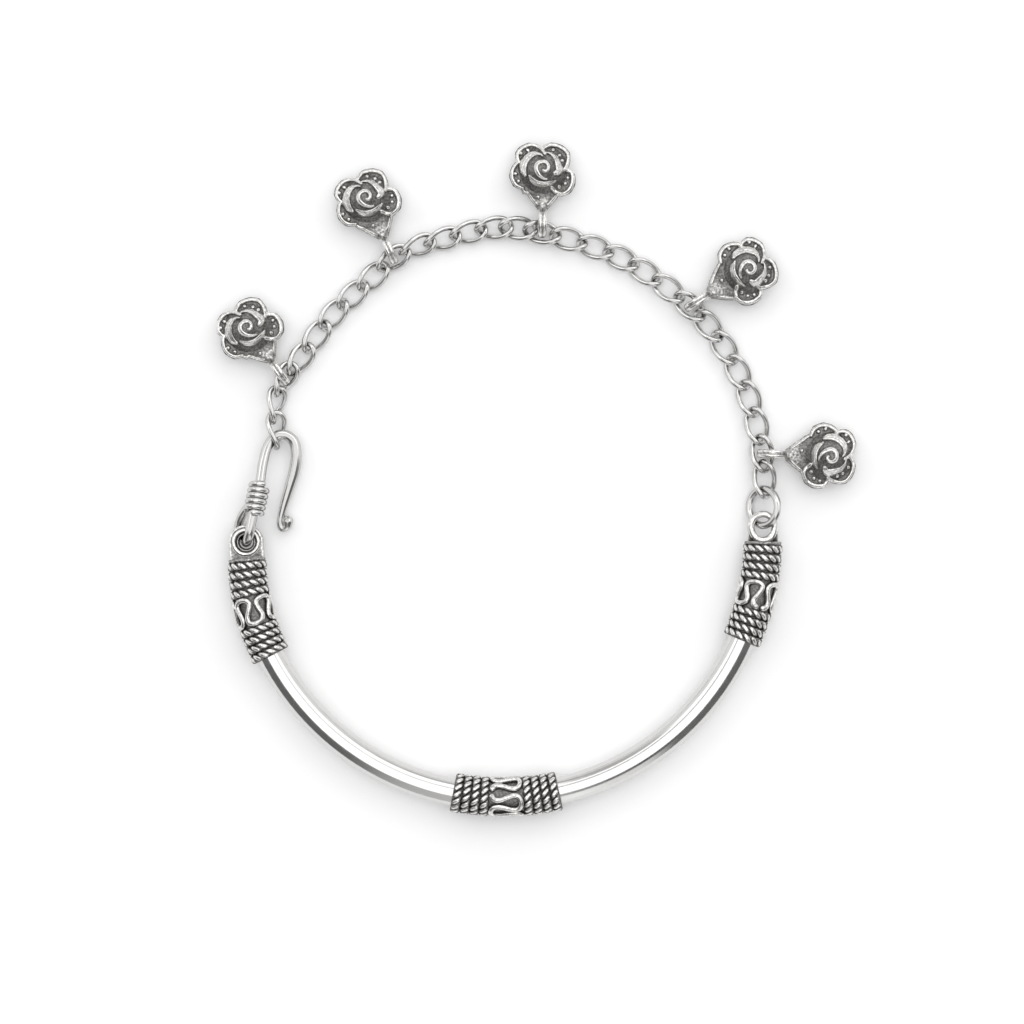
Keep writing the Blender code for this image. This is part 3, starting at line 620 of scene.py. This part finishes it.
def polished_silver(name):
    """Bright silver with slight wear, with painted shade on its wires' sides and in its crevices, and
    painted reflection lines along its wires.
    """
    material = bpy.data.materials.new(name)
    tree, shader = set_up(material)
    shader.inputs["Metallic"].default_value = 1.0
    wear = noise(tree, 900.0, 4.0)
    # Painted shade: the colour goes grey where ambient occlusion finds the metal hemmed in, as where
    # links touch
    open_share = ramp(tree, crevice(tree, 0.0008), 0.05, 0.72)
    dulled = tuple(POLISHED_WEAR * v for v in POLISHED)
    colour = blend(tree, ramp(tree, wear, 0.35, 0.70), dulled + (1.0,), POLISHED + (1.0,))
    # Painted light from the stored shine: painted shade on the wires' sides and painted reflection lines
    # along their tops
    colour = blend(tree, stored_shine(tree), POLISHED_PAINTED_SHADE, colour)
    colour = blend(tree, open_share, POLISHED_CREVICE_PAINTED_SHADE, colour)
    tree.links.new(colour, shader.inputs["Base Color"])
    rough = ramp(tree, wear, 0.30, 0.75, POLISHED_ROUGHNESS, POLISHED_ROUGHNESS * 1.5)
    tree.links.new(rough, shader.inputs["Roughness"])
    add_bump(tree, shader, noise(tree, 2600.0, 3.0), 0.05, 0.00002)
    return material


def oxidised_silver(name):
    """Silver that is dark in its ground and bright on what stands up."""
    material = bpy.data.materials.new(name)
    tree, shader = set_up(material)
    shader.inputs["Metallic"].default_value = 1.0
    grain = noise(tree, 4200.0, 5.0)
    spread = maths(tree, "MULTIPLY_ADD", grain, GRAIN_SPREAD, -GRAIN_SPREAD / 2)
    level = ramp(tree, maths(tree, "ADD", stored_shine(tree), spread), 0.25, 0.75)
    open_share = crevice(tree, 0.0005)
    level = times(tree, level, ramp(tree, open_share, 0.05, 0.55, 0.3, 1.0))
    mottle = ramp(tree, noise(tree, 5200.0, 3.0), 0.40, 0.60, 0.20, 1.0)
    ground = times(tree, ramp(tree, open_share, 0.15, 0.90), mottle)
    ground = blend(tree, ground, GROUND_DARK, GROUND_OPEN)
    cloud = ramp(tree, noise(tree, 3400.0, 5.0), 0.35, 0.65)
    rubbed = blend(tree, cloud, RUBBED_DULL, RUBBED_BRIGHT)
    colour = blend(tree, level, ground, rubbed)
    tree.links.new(colour, shader.inputs["Base Color"])
    tree.links.new(ramp(tree, level, 0.0, 1.0, 0.50, 0.24), shader.inputs["Roughness"])
    add_bump(tree, shader, grain, 0.30, 0.00005)
    return material


def sleeve_bend(points, middle_angle, flipped):
    """A straight sleeve bent along the arc: +X becomes outward, +Z clockwise seen from above."""
    p = np.asarray(points, float)
    y = -p[:, 1] if flipped else p[:, 1]
    z = -p[:, 2] if flipped else p[:, 2]
    return on_arc(middle_angle - arc_degrees(z), p[:, 0], y + BAR_HEIGHT)


def turned(profile, sides):
    """A profile of (radius, height) turned about the Z axis, from top to bottom outside."""
    profile = np.array(profile)
    turn = np.arange(sides) * 2 * np.pi / sides
    x = profile[:, 0, None] * np.cos(turn)
    y = profile[:, 0, None] * np.sin(turn)
    z = np.repeat(profile[:, 1, None], sides, axis=1)
    quads = grid_faces(len(profile), sides)
    return np.stack([x, y, z], axis=-1).reshape(-1, 3), [quads[:, ::-1]]


def serpentine(turns, upward, seam):
    """Angle round the sleeve and share of the swing along a serpentine wire through its turns."""
    count = 2 * SQUIGGLE_WAVES
    missing = count - len(turns)
    stride = (turns[0] + 360.0 - turns[-1]) / (missing + 1)
    knots = turns + [turns[-1] + stride * (i + 1) for i in range(missing)]
    knots = np.array(knots + [turns[0] + 360.0, turns[1] + 360.0])
    before = np.concatenate([[knots[-3] - 360.0], knots[:-2]])
    widths = SQUIGGLE_LOOP * (np.concatenate([knots[1:-1], [knots[1] + 360.0]]) - before)
    if seam is None:
        place = np.arange(count * SQUIGGLE_STEPS) / SQUIGGLE_STEPS
    else:
        place = seam + np.linspace(SEAM, count - SEAM, count * SQUIGGLE_STEPS)
    lap = np.floor(place / count)
    at = place - lap * count
    angle = np.interp(at, np.arange(count + 1), knots[:count + 1]) + 360.0 * lap
    width = np.interp(at, np.arange(count + 1), widths[:count + 1])
    swing = np.cos(np.pi * place) * (1.0 if upward else -1.0)
    return np.radians(angle + width * np.sin(2 * np.pi * place)), swing


def sleeve_body(shape, length, angle, flipped, bore_depth, rope, collar, shift, turns):
    """The core of a sleeve with its bore, its ropes and its serpentine wire."""
    top = length / 2
    zone = ROPE_ROWS * ROPE_PITCH
    end = [(0.0, top)] if bore_depth < length else [(BORE_RADIUS, top)]
    profile = end + [(CORE_RADIUS, top)]
    for i in range(13):
        profile.append((CORE_RADIUS, top - length * (i + 0.5) / 13))
    profile += [(CORE_RADIUS, -top), (BORE_RADIUS, -top)]
    for i in range(1, 9):
        profile.append((BORE_RADIUS, -top + bore_depth * i / 8))
    if bore_depth < length:
        profile.append((0.0, -top + bore_depth))
    points, faces = turned(profile, 48)
    shape.add(shifted(sleeve_bend(points, angle, flipped)), faces, CORE_SHINE)

    twists, spread, swell = rope
    centre = SLEEVE_RADIUS - swell - STRAND_RADIUS + ROPE_FLAT
    steps = twists * 20
    around = np.arange(steps) * 2 * np.pi / steps
    for upper, lower in ((top - collar, top - zone - shift), (zone - top - shift, -top)):
        pitch = (upper - lower) / ROPE_ROWS
        for row in range(ROPE_ROWS):
            height = upper - (row + 0.5) * pitch
            for strand in (0.0, np.pi):
                turn = twists * around + strand + ROW_PHASE * row
                reach = centre + swell * np.cos(turn)
                line = np.stack([reach * np.cos(around), reach * np.sin(around),
                                 height - spread * np.sin(turn)], axis=-1)
                points, faces, _ = sweep(line, STRAND_RADIUS, 12, closed=True)
                out = np.hypot(points[:, 0], points[:, 1])
                flat = np.clip(out, CORE_RADIUS - CORE_SINK, SLEEVE_RADIUS) / out
                shine = step(out, SLEEVE_RADIUS - ROPE_RUBBED, SLEEVE_RADIUS - ROPE_BRIGHT)
                points[:, :2] *= flat[:, None]
                points[:, 2] = np.clip(points[:, 2], -top, top)
                shape.add(shifted(sleeve_bend(points, angle, flipped)), faces, shine)
    if collar > 0:
        profile = [(0.0, top)]
        profile += [(SLEEVE_RADIUS - inward, top - down) for inward, down in COLLAR_PROFILE]
        points, faces = turned(profile, 48)
        shape.add(shifted(sleeve_bend(points, angle, flipped)), faces, COLLAR_SHINE)

    swing = top - zone - SQUIGGLE_WIRE / 2 + SQUIGGLE_LAP
    radius = CORE_RADIUS + SQUIGGLE_WIRE / 2 - SQUIGGLE_SINK
    around, share = serpentine(*turns)
    line = np.stack([radius * np.cos(around), radius * np.sin(around), swing * share - shift], axis=-1)
    closed = turns[2] is None
    near_end = np.minimum(np.arange(len(line)), np.arange(len(line))[::-1]) / 4.0
    knob = 0.0 if closed else SQUIGGLE_KNOB * np.exp(-near_end ** 2)
    points, faces, _ = sweep(line, SQUIGGLE_WIRE / 2 * (1.0 + knob), 16, closed=closed)
    out = np.hypot(points[:, 0], points[:, 1])
    lift = (out - radius) / (SQUIGGLE_WIRE / 2)
    # Rubbed top of the serpentine wire bright, less a painted reflection line along its crest
    shine = step(lift, 0.15, 0.60) - SQUIGGLE_PAINTED_REFLECTION * step(lift, 0.94, 0.985)
    shape.add(shifted(sleeve_bend(points, angle, flipped)), faces, shine)


def eye_body(shape, angle, flipped, eye, rows, stretch=1.0):
    """The eye of a cap by rows: what a point is measured from, its distance, height and shine."""
    radius, hole, reach = eye
    sides = 96
    turn = np.arange(sides) * 2 * np.pi / sides
    c, s = np.cos(turn), np.sin(turn)
    straight = np.minimum(radius / np.maximum(np.abs(c), 1e-6),
                          (reach + EYE_FOOT) / np.maximum(-s, 1e-6))
    rim = np.where(s >= 0, radius, straight)
    points = []
    shine = []
    for base, offset, height, bright in rows:
        out = np.full(sides, hole + offset) if base == "hole" else rim + offset
        shine.append(np.full(sides, bright))
        level = np.full(sides, -height if flipped else height)
        drop = np.where((s < 0) & (base == "hole"), stretch, 1.0)
        points.append(np.stack([out * c, level, CAP_LENGTH / 2 + reach + out * s * drop], axis=-1))
    points = np.array(points).reshape(-1, 3)
    quads = grid_faces(len(rows), sides, around_rows=True)
    faces = [quads[:, ::-1] if flipped else quads]
    shape.add(shifted(sleeve_bend(points, angle, flipped)), faces, np.array(shine))


def arc_rows(centre, height, radius, start, end, steps):
    """Profile points of an arc, by angle in degrees."""
    rows = []
    for i in range(steps + 1):
        turn = math.radians(start + (end - start) * i / steps)
        rows.append((centre + radius * math.cos(turn), height + radius * math.sin(turn)))
    return rows


def build_bangle(silver, dark):
    """The bar with its bead and its two caps."""
    hidden = arc_degrees(CAP_LENGTH - SOCKET_DEPTH + BAR_END_GAP) + arc_degrees(BAR_RADIUS)
    angles = np.linspace(LEFT_END_ANGLE + hidden, RIGHT_END_ANGLE - hidden, 260)
    shape = Shape()
    points, faces, _ = sweep(on_arc(angles, 0.0, BAR_HEIGHT), BAR_RADIUS, 64)
    shape.add(shifted(points), faces)
    piece("bangle_bar_looks", shape, silver, "bangle_bar")

    shape = Shape()
    sleeve_body(shape, BEAD_LENGTH, BEAD_ANGLE, False, BEAD_LENGTH, BEAD_ROPE, 0.0, 0.0, BEAD_TURNS)
    piece("centre_bead_looks", shape, dark, "centre_bead")

    half = arc_degrees(CAP_LENGTH / 2)
    shape = Shape()
    angle = LEFT_END_ANGLE + half
    sleeve_body(shape, CAP_LENGTH, angle, False, SOCKET_DEPTH, CAP_ROPE, COLLAR, ZONE_SHIFT, LEFT_TURNS)
    edge = LEFT_EYE_THICKNESS / 2
    wire = LEFT_EYE_WIRE
    rows = [("hole", x, y, 0.85) for x, y in arc_rows(-0.00016, -0.0001, LEFT_EYE_BEAD, -60, 110, 8)]
    rows += [("hole", -0.00002, -0.00006, 0.0), ("hole", -0.00001, edge - wire - 0.00006, 0.0)]
    rows += [("hole", x, y, 1.0) for x, y in arc_rows(0.00001 + wire, edge - wire, wire, 165, 20, 10)]
    rows += [("hole", 0.00050, edge - 0.00013, 0.25), ("rim", -0.00030, edge - 0.00011, 0.45),
             ("rim", -0.00013, edge - 0.00011, 0.7), ("rim", -0.00005, edge - 0.00016, 1.0),
             ("rim", 0.0, edge - 0.00028, 0.5), ("rim", 0.0, -edge + 0.0003, 0.4),
             ("rim", -0.00006, -edge + 0.00012, 0.5), ("rim", -0.0002, -edge + 0.00002, 0.5),
             ("hole", 0.0000, -edge + 0.00002, 0.2), ("hole", -0.00036, -edge + 0.00012, 0.0)]
    eye_body(shape, angle, False, LEFT_EYE, rows)
    piece("left_end_cap_looks", shape, dark, "left_end_cap")

    shape = Shape()
    angle = RIGHT_END_ANGLE - half
    sleeve_body(shape, CAP_LENGTH, angle, True, SOCKET_DEPTH, CAP_ROPE, COLLAR, ZONE_SHIFT, RIGHT_TURNS)
    edge = RIGHT_EYE_THICKNESS / 2
    band = RIGHT_EYE_BAND
    inset = RIGHT_EYE_INSET
    rows = [("hole", x - inset, y / band * edge, 1.0) for x, y in arc_rows(band, 0.0, band, 260, 10, 14)]
    rows += [("hole", 2 * band - inset + 0.00001, -0.00006, 0.0), ("rim", -0.00014, -0.00006, 0.0),
             ("rim", -0.00004, -0.00004, 1.0), ("rim", 0.0, -0.00012, 0.6),
             ("rim", 0.0, -edge + 0.00012, 0.4), ("rim", -0.00012, -edge, 0.4)]
    eye_body(shape, angle, True, RIGHT_EYE, rows, RIGHT_EYE_STRETCH)
    piece("right_end_cap_looks", shape, dark, "right_end_cap")


def build_links(silver):
    """The twisted links of the curb chain."""
    length = 0.0
    for number in range(1, LINK_COUNT):
        length += (route_at(number + 1) - route_at(number)).to_2d().length
    half_length = (length / (LINK_COUNT - 1) + LINK_WIRE + LINK_CLEARANCE) / 2
    half_width = (LINK_WIDTH - LINK_WIRE) / 2
    turn = np.arange(72) * 2 * np.pi / 72
    c, s = np.cos(turn), np.sin(turn)
    x = half_length * np.sign(c) * np.abs(c) ** LINK_SQUARENESS
    y = half_width * np.sign(s) * np.abs(s) ** LINK_SQUARENESS
    twist = -math.radians(LINK_TWIST) * x / half_length
    line = np.stack([x, y * np.cos(twist), y * np.sin(twist)], axis=-1)
    for number in range(1, LINK_COUNT + 1):
        place = link_place(number)
        up = np.array(place)[2, :3]
        points, faces, rise = sweep(line, LINK_WIRE / 2, 28, closed=True, up=up)
        shape = Shape()
        # Painted shade at the link wire's sides and a painted reflection line along its top
        shape.add(shifted(moved(place, points)), faces, painted_wire_light(rise))
        piece(f"link_{number:02d}_looks", shape, silver, f"link_{number:02d}")


def build_jump_ring(silver):
    """The round ring between the last link and the right eye."""
    hole = eye_centre(RIGHT_END_ANGLE, RIGHT_EYE_REACH, 1.0)
    radius = (JUMP_RING_DIAMETER - JUMP_RING_WIRE) / 2
    last = link_place(LINK_COUNT).translation
    along = Vector((last.x - hole.x, last.y - hole.y, 0.0)).normalized()
    slope = math.radians(JUMP_RING_SLOPE)
    tilt = math.radians(JUMP_RING_TILT)
    first = np.array(along * math.cos(slope) - UP * math.sin(slope))
    second = np.array(along.cross(UP) * math.cos(tilt) + UP * math.sin(tilt))
    middle = np.array((hole.x, hole.y, BAR_HEIGHT)) + first * (radius + JUMP_RING_PULL)
    turn = np.arange(96)[:, None] * 2 * np.pi / 96
    shape = Shape()
    points, faces, rise = sweep(middle + first * radius * np.cos(turn) + second * radius * np.sin(turn),
                                JUMP_RING_WIRE / 2, 32, closed=True)
    # Painted shade at the ring wire's sides and a painted reflection line along its top
    shape.add(shifted(points), faces, painted_wire_light(rise))
    piece("jump_ring_looks", shape, silver, "jump_ring")


def hook_heights():
    """Heights of the hook's wire over the eye and under it."""
    off = LEFT_EYE_THICKNESS / 2 + HOOK_WIRE / 2 + EYE_LOOP_GAP
    return BAR_HEIGHT + off, BAR_HEIGHT - off


def hook_figure():
    """The hook past the eye in its own frame: +X along it, +Y to its left, with wire shares."""
    over, _ = hook_heights()
    figure = []
    for along, across, drop, share in HOOK_FIGURE:
        height = over + (HOOK_TOP_HEIGHT - over) * min(drop, 1.0)
        height += (HOOK_TIP_HEIGHT - HOOK_TOP_HEIGHT) * max(drop - 1.0, 0.0)
        figure.append(Vector((along * HOOK_LENGTH, -across * HOOK_WIDTH, height, share)))
    return figure


def eye_loop():
    """The hook's foot in the same frame: from the coil back under the eye, up through its hole."""
    over, under = hook_heights()
    band = (LEFT_EYE_RADIUS + LEFT_EYE_HOLE) / 2
    side = LEFT_EYE_RADIUS + EYE_LOOP_GAP
    points = []
    for back, across, rise, share in FOOT_END_FIGURE:
        points.append(Vector((COIL_START * HOOK_LENGTH - back * COIL_WIRE, across * band,
                              under + (over - under) * rise, share)))
    for along, across, rise, share in EYE_LOOP_FIGURE:
        points.append(Vector((along * side, across * band, under + (over - under) * rise, share)))
    return points


def build_hook(silver):
    """The hook and the coil round its foot."""
    line = even_points(smooth_through(eye_loop() + hook_figure(), 24), 0.00014)
    radii = np.array([p[3] for p in line]) * HOOK_SWELL * HOOK_WIRE / 2
    points, faces, rise = sweep(line, radii, 40)
    shape = Shape()
    # Painted shade at the hook wire's sides and a painted reflection line along its top
    shape.add(shifted(moved(hook_place(), points)), faces, painted_wire_light(rise))
    piece("hook_looks", shape, silver, "hook")

    start = COIL_START * HOOK_LENGTH
    end = COIL_END * HOOK_LENGTH
    shank = smooth_through(hook_figure(), 60)
    shank = [p.to_3d() for p in shank if start <= p[0] <= end and p[1] > -HOOK_WIDTH / 2]
    shank = even_points(shank, (end - start) / (COIL_TURNS * COIL_STEPS))
    radius = HOOK_WIRE / 2 + COIL_CLEARANCE + COIL_WIRE / 2
    line = []
    for i, centre in enumerate(shank):
        heading = (shank[min(i + 1, len(shank) - 1)] - shank[max(i - 1, 0)]).normalized()
        side = heading.cross(UP).normalized()
        turn = 2 * math.pi * i / COIL_STEPS + math.pi / 2
        outward = side.cross(heading) * math.sin(turn) - side * math.cos(turn)
        line.append(centre + outward * radius)
    points, faces, rise = sweep(line, (COIL_WIRE + COIL_SWELL) / 2, 20)
    side_painted_shade, top_painted_light = COIL_PAINTED_LIGHT
    shape = Shape()
    # Painted light on the coil: darker where its wire faces away from up, brighter on top
    shape.add(shifted(moved(hook_place(), points)), faces, side_painted_shade + top_painted_light * step(rise, 0.1, 0.6))
    piece("hook_coil_looks", shape, silver, "hook_coil")


def mould_line(rows, steps):
    """A smooth line through rows of degrees, radius and width in millimetres: x, y, width in metres."""
    line = smooth_through([Vector((*row, 0.0, 0.0)[:4]) for row in rows], steps)
    line = np.array([tuple(p) for p in line])
    turn = np.radians(line[:, 0])
    return line[:, 1] * MM * np.cos(turn), line[:, 1] * MM * np.sin(turn), line[:, 2] * MM


def nearest(x, y, line_x, line_y):
    """Distance from each point to the nearest of the line's points, and which one it is."""
    best = np.full(len(x), 1.0)
    index = np.zeros(len(x), int)
    for i, (a, b) in enumerate(zip(line_x, line_y)):
        d = (x - a) ** 2 + (y - b) ** 2
        closer = d < best
        best[closer] = d[closer]
        index[closer] = i
    return np.sqrt(best), index


def cone_sides(neck):
    """How far from the rose's middle the neck's sides are, along and across it, in millimetres."""
    along = np.append(neck / MM - np.array([0.0, 0.30, 0.65, 1.15, 1.65]), [2.60, 2.00])
    return along, np.array([0.46, 0.70, 0.98, 1.38, 1.72, 2.05, 2.32])


def rose_outline(turn, neck):
    """Distance of the rose's rim from its middle, by direction in degrees, with its neck's length."""
    reach = np.full(len(turn), INNER_REACH)
    for _, rim in ROSE_PETAL_RIMS:
        rows = sorted(rim)
        at = np.array([row[0] for row in rows], float)
        out = np.array([row[1] for row in rows], float)
        for lap in (-360.0, 0.0, 360.0):
            reach = np.maximum(reach, np.interp(turn + lap, at, out, left=0.0, right=0.0))
    along, across = cone_sides(neck)
    off = np.abs((turn % 360.0) - 180.0)
    cone = np.interp(off, np.degrees(np.arctan2(across, along)), np.hypot(along, across), right=0.0)
    reach = np.maximum(reach, cone)
    for _ in range(2):
        reach = (np.roll(reach, 1) + 2 * reach + np.roll(reach, -1)) / 4
    return reach * RIM_SHARE * MM


def rose_relief(x, y):
    """Height above the ground and shine of the rose's relief."""
    height = np.zeros(len(x))
    shine = np.zeros(len(x))

    def raise_to(level, bright):
        higher = level > height
        height[higher] = level[higher]
        shine[higher] = np.broadcast_to(bright, len(x))[higher]

    line_x, line_y, width = mould_line(ROSE_SPIRAL, 12)
    far, at = nearest(x, y, line_x, line_y)
    share = np.clip(1 - (far / (width[at] / 2)) ** 2, 0.0, 1.0)
    raise_to(SPIRAL_RISE * np.sqrt(share), share ** 0.2)
    for rows in ROSE_CRESCENTS:
        line_x, line_y, width = mould_line(rows, 12)
        far, at = nearest(x, y, line_x, line_y)
        half = width[at] / 2
        share = np.clip(1 - (far / half) ** 2, 0.0, 1.0)
        lines = 0.5 + 0.5 * np.cos(2 * np.pi * far / SCRATCH_PITCH)
        bright = 1 - SCRATCH_SHINE * (1 - lines)
        raise_to((CRESCENT_RISE + SCRATCH_RISE * lines) * share ** 0.4, bright * share ** 0.15)
    for thick, rim in ROSE_PETAL_RIMS:
        inner = [(turn, reach - thick / 2, thick) for turn, reach in rim]
        line_x, line_y, _ = mould_line(inner, 12)
        far, _ = nearest(x, y, line_x, line_y)
        share = np.clip(1 - (far / (RIM_SWELL * thick * MM / 2)) ** 2, 0.0, 1.0)
        raise_to(RIM_RISE * np.sqrt(share), share ** 0.35)
    for turn, reach in ROSE_GRANULES:
        a = math.radians(turn)
        far = np.hypot(x - reach * MM * math.cos(a), y - reach * MM * math.sin(a))
        share = np.clip(1 - (far / GRANULE_RADIUS) ** 2, 0.0, 1.0)
        raise_to(GRANULE_RISE * np.sqrt(share), GRANULE_SHINE * np.sqrt(share))
    return height, shine


def rose_body(shape, distance, turned_to):
    """One rose at its distance from the link, with its neck drawn out to the bail."""
    turn = (np.arange(ROSE_AROUND) + 0.5) * 360.0 / ROSE_AROUND
    neck = distance - BAIL_REACH - BAIL_LENGTH / 2 + BAIL_WIRE * NECK_TIP
    rim = rose_outline(turn, neck)
    c, s = np.cos(np.radians(turn)), np.sin(np.radians(turn))
    share = (np.arange(1, ROSE_OUT + 1) / ROSE_OUT)[:, None]
    out = share * rim[None, :]
    x, y = (out * c).ravel(), (out * s).ravel()
    height, shine = rose_relief(x, y)
    level = np.interp(out.ravel() / ROSE_RADIUS, *ROSE_GROUND)
    z = level * ROSE_HEIGHT - math.tan(math.radians(ROSE_TILT)) * x * (level - ROSE_RIM_SHARE)
    drawn = step((-x - NECK_START) / (neck - NECK_BLEND), 0.0, 1.0)
    along, across = cone_sides(neck)
    wide = np.interp(-x / MM, along[::-1], across[::-1]) * MM
    crown = BAIL_LENGTH / 2 + NECK_CROWN * np.sqrt(np.clip(1 - (y / wide) ** 2, 0.0, 1.0))
    z = z + (crown - z) * drawn + height
    bright = NECK_SHINE[0] + NECK_SHINE[1] * drawn
    shine = np.where(-x > NECK_START, np.maximum(shine, bright), shine)
    off = np.tile(np.abs(turn - 180.0), ROSE_OUT)
    side = step(off, 7.0, 15.0) * (1 - step(off, 40.0, 52.0))
    ridge, half = RIDGE_SHARE
    side = side * np.clip(1 - ((np.repeat(share, ROSE_AROUND) - ridge) / half) ** 2, 0.0, 1.0)
    z = z + RIDGE_RISE * np.sqrt(side)
    shine = np.maximum(shine, RIDGE_SHINE * np.sqrt(side))
    pulled = drawn[-ROSE_AROUND:]
    edge = z[-ROSE_AROUND:]
    rings = [np.stack([x, y, z], axis=-1)]
    shines = [shine]
    for reach, drop in ROSE_EDGE:
        rings.append(np.stack([reach * rim * c, reach * rim * s, edge - drop], axis=-1))
        shines.append(np.full(ROSE_AROUND, EDGE_SHINE))
    for reach, base, bright in ROSE_BACK:
        low = base * ROSE_HEIGHT
        low = low + (BAIL_LENGTH / 2 - NECK_BELLY - low) * pulled * reach
        low = np.minimum(low, edge - BACK_THINNEST)
        rings.append(np.stack([reach * rim * c, reach * rim * s, low], axis=-1))
        shines.append(np.full(ROSE_AROUND, bright))
    points = np.concatenate(rings + [[(0.0, 0.0, z[:ROSE_AROUND].mean()), (0.0, 0.0, 0.0)]])
    bright = np.concatenate(shines + [[0.0, EDGE_SHINE]])
    count = len(points) - 2
    rows = count // ROSE_AROUND
    j = np.arange(ROSE_AROUND)
    k = (j + 1) % ROSE_AROUND
    far = count - ROSE_AROUND
    faces = [grid_faces(rows, ROSE_AROUND)[:, ::-1],
             np.stack([np.full(ROSE_AROUND, count), j, k], axis=-1),
             np.stack([np.full(ROSE_AROUND, count + 1), far + k, far + j], axis=-1)]
    place = turned_to @ Matrix.Translation((distance, 0.0, 0.0))
    shape.add(shifted(moved(place, points)), faces, bright)


def bail_body(shape, turned_to):
    """The upright ring of a charm: one thick wire with two rounded edges."""
    radius = (BAIL_LENGTH - BAIL_WIRE) / 2
    a = np.arange(80) * 2 * np.pi / 80
    # The middle wire's lower shine paints a grey reflection line along the bail between its bright edges
    for across, thick, bright in BAIL_WIRES:
        reach = radius + BAIL_WIRE * (0.5 - thick)
        line = np.stack([BAIL_REACH + reach * np.cos(a), 0.0 * a + across * BAIL_WIRE,
                         BAIL_LENGTH / 2 + reach * np.sin(a)], axis=-1)
        points, faces, _ = sweep(line, BAIL_WIRE * thick, 18, closed=True)
        shape.add(shifted(moved(turned_to, points)), faces, bright)


def build_charms(dark):
    """The five cast roses with their bails, all from one mould."""
    for index, (direction, distance) in enumerate(CHARM_PLACES):
        shape = Shape()
        x, y, _, _ = route_at(FIRST_CHARM_LINK + CHARM_LINK_STEP * index)
        turned_to = Matrix.Translation((x, y, 0.0)) @ Matrix.Rotation(math.radians(direction), 4, "Z")
        rose_body(shape, distance * ROSE_RADIUS, turned_to)
        bail_body(shape, turned_to)
        piece(f"charm_{index + 1}_looks", shape, dark, f"charm_{index + 1}")


def build_stage():
    """A plain white table."""
    material = bpy.data.materials.new("white_table")
    tree, shader = set_up(material)
    shader.inputs["Base Color"].default_value = (0.92, 0.92, 0.92, 1.0)
    shader.inputs["Roughness"].default_value = 0.9
    shader.inputs["Specular IOR Level"].default_value = 0.0
    shader.inputs["Emission Color"].default_value = (1.0, 1.0, 1.0, 1.0)
    shader.inputs["Emission Strength"].default_value = 0.10
    mesh = bpy.data.meshes.new("table")
    mesh.from_pydata([(-2, -2, 0), (2, -2, 0), (2, 2, 0), (-2, 2, 0)], [], [(0, 1, 2, 3)])
    mesh.materials.append(material)
    table = bpy.data.objects.new("table", mesh)
    bpy.context.scene.collection.objects.link(table)


def build_light():
    """A studio by direction: a wide white light overhead that reaches further to the back."""
    world = bpy.data.worlds.new("studio")
    bpy.context.scene.world = world
    world.use_nodes = True
    tree = world.node_tree
    coordinate = tree.nodes.new("ShaderNodeTexCoord").outputs["Generated"]
    parts = tree.nodes.new("ShaderNodeSeparateXYZ")
    tree.links.new(coordinate, parts.inputs[0])
    x, y, z = parts.outputs
    flat = maths(tree, "MAXIMUM", maths(tree, "SUBTRACT", 1.0, times(tree, z, z)), 0.0001)
    flat = maths(tree, "SQRT", flat)
    cx = maths(tree, "DIVIDE", x, flat)
    cy = maths(tree, "DIVIDE", y, flat)
    steep = maths(tree, "DIVIDE", flat, maths(tree, "MAXIMUM", z, 0.02))

    def toward(angle):
        a = math.radians(angle)
        return maths(tree, "MULTIPLY_ADD", cx, math.cos(a), times(tree, cy, math.sin(a)))

    front = ramp(tree, toward(FRONT_TURN), 0.86, 0.99, 0.16, 0.62)
    lamp = times(tree, ramp(tree, toward(LAMP_TURN), 0.955, 0.995), ramp(tree, steep, 1.0, 1.3))
    front = maths(tree, "MULTIPLY_ADD", lamp, LAMP, front)
    side = ramp(tree, cy, -0.45, 0.05)
    back = times(tree, ramp(tree, cy, 0.70, 0.95), ramp(tree, z, 0.14, 0.25))
    back = maths(tree, "MULTIPLY_ADD", back, -0.40, BACK_WALL)
    wall = mixed(tree, side, front, back)
    edge = ramp(tree, cy, -0.30, 0.90, 0.54, 2.10)
    box = ramp(tree, maths(tree, "DIVIDE", steep, edge), 0.94, 1.08, 1.0, 0.0)
    line = times(tree, ramp(tree, steep, 0.50, 0.58), ramp(tree, steep, 0.74, 0.82, 1.0, 0.0))
    line = times(tree, line, ramp(tree, cy, -0.2, 0.2))
    line = times(tree, line, ramp(tree, cx, -0.3, 0.3, 1.15, 0.80))
    bright = maths(tree, "MULTIPLY_ADD", line, -LINE_DEPTH, OVERHEAD)
    shade = times(tree, ramp(tree, toward(SHADE_TURN), 0.955, 0.99), ramp(tree, steep, 0.95, 1.3))
    bright = maths(tree, "MULTIPLY_ADD", shade, -SHADE_DEPTH, bright)
    light = mixed(tree, box, wall, bright)
    tree.links.new(light, tree.nodes["Background"].inputs["Strength"])
    tree.nodes["Background"].inputs["Color"].default_value = (1.0, 1.0, 1.0, 1.0)
    bpy.context.scene.view_settings.view_transform = "Standard"


def build_camera():
    """Straight above, as the photo was taken."""
    data = bpy.data.cameras.new("camera")
    data.lens = CAMERA_LENS
    data.sensor_width = CAMERA_SENSOR
    camera = bpy.data.objects.new("camera", data)
    camera.location = CAMERA_PLACE
    bpy.context.scene.collection.objects.link(camera)
    bpy.context.scene.camera = camera


silver_look = polished_silver("polished_silver")
dark_look = oxidised_silver("oxidised_silver")
build_bangle(silver_look, dark_look)
build_hook(silver_look)
build_jump_ring(silver_look)
build_links(silver_look)
build_charms(dark_look)
build_stage()
build_light()
build_camera()
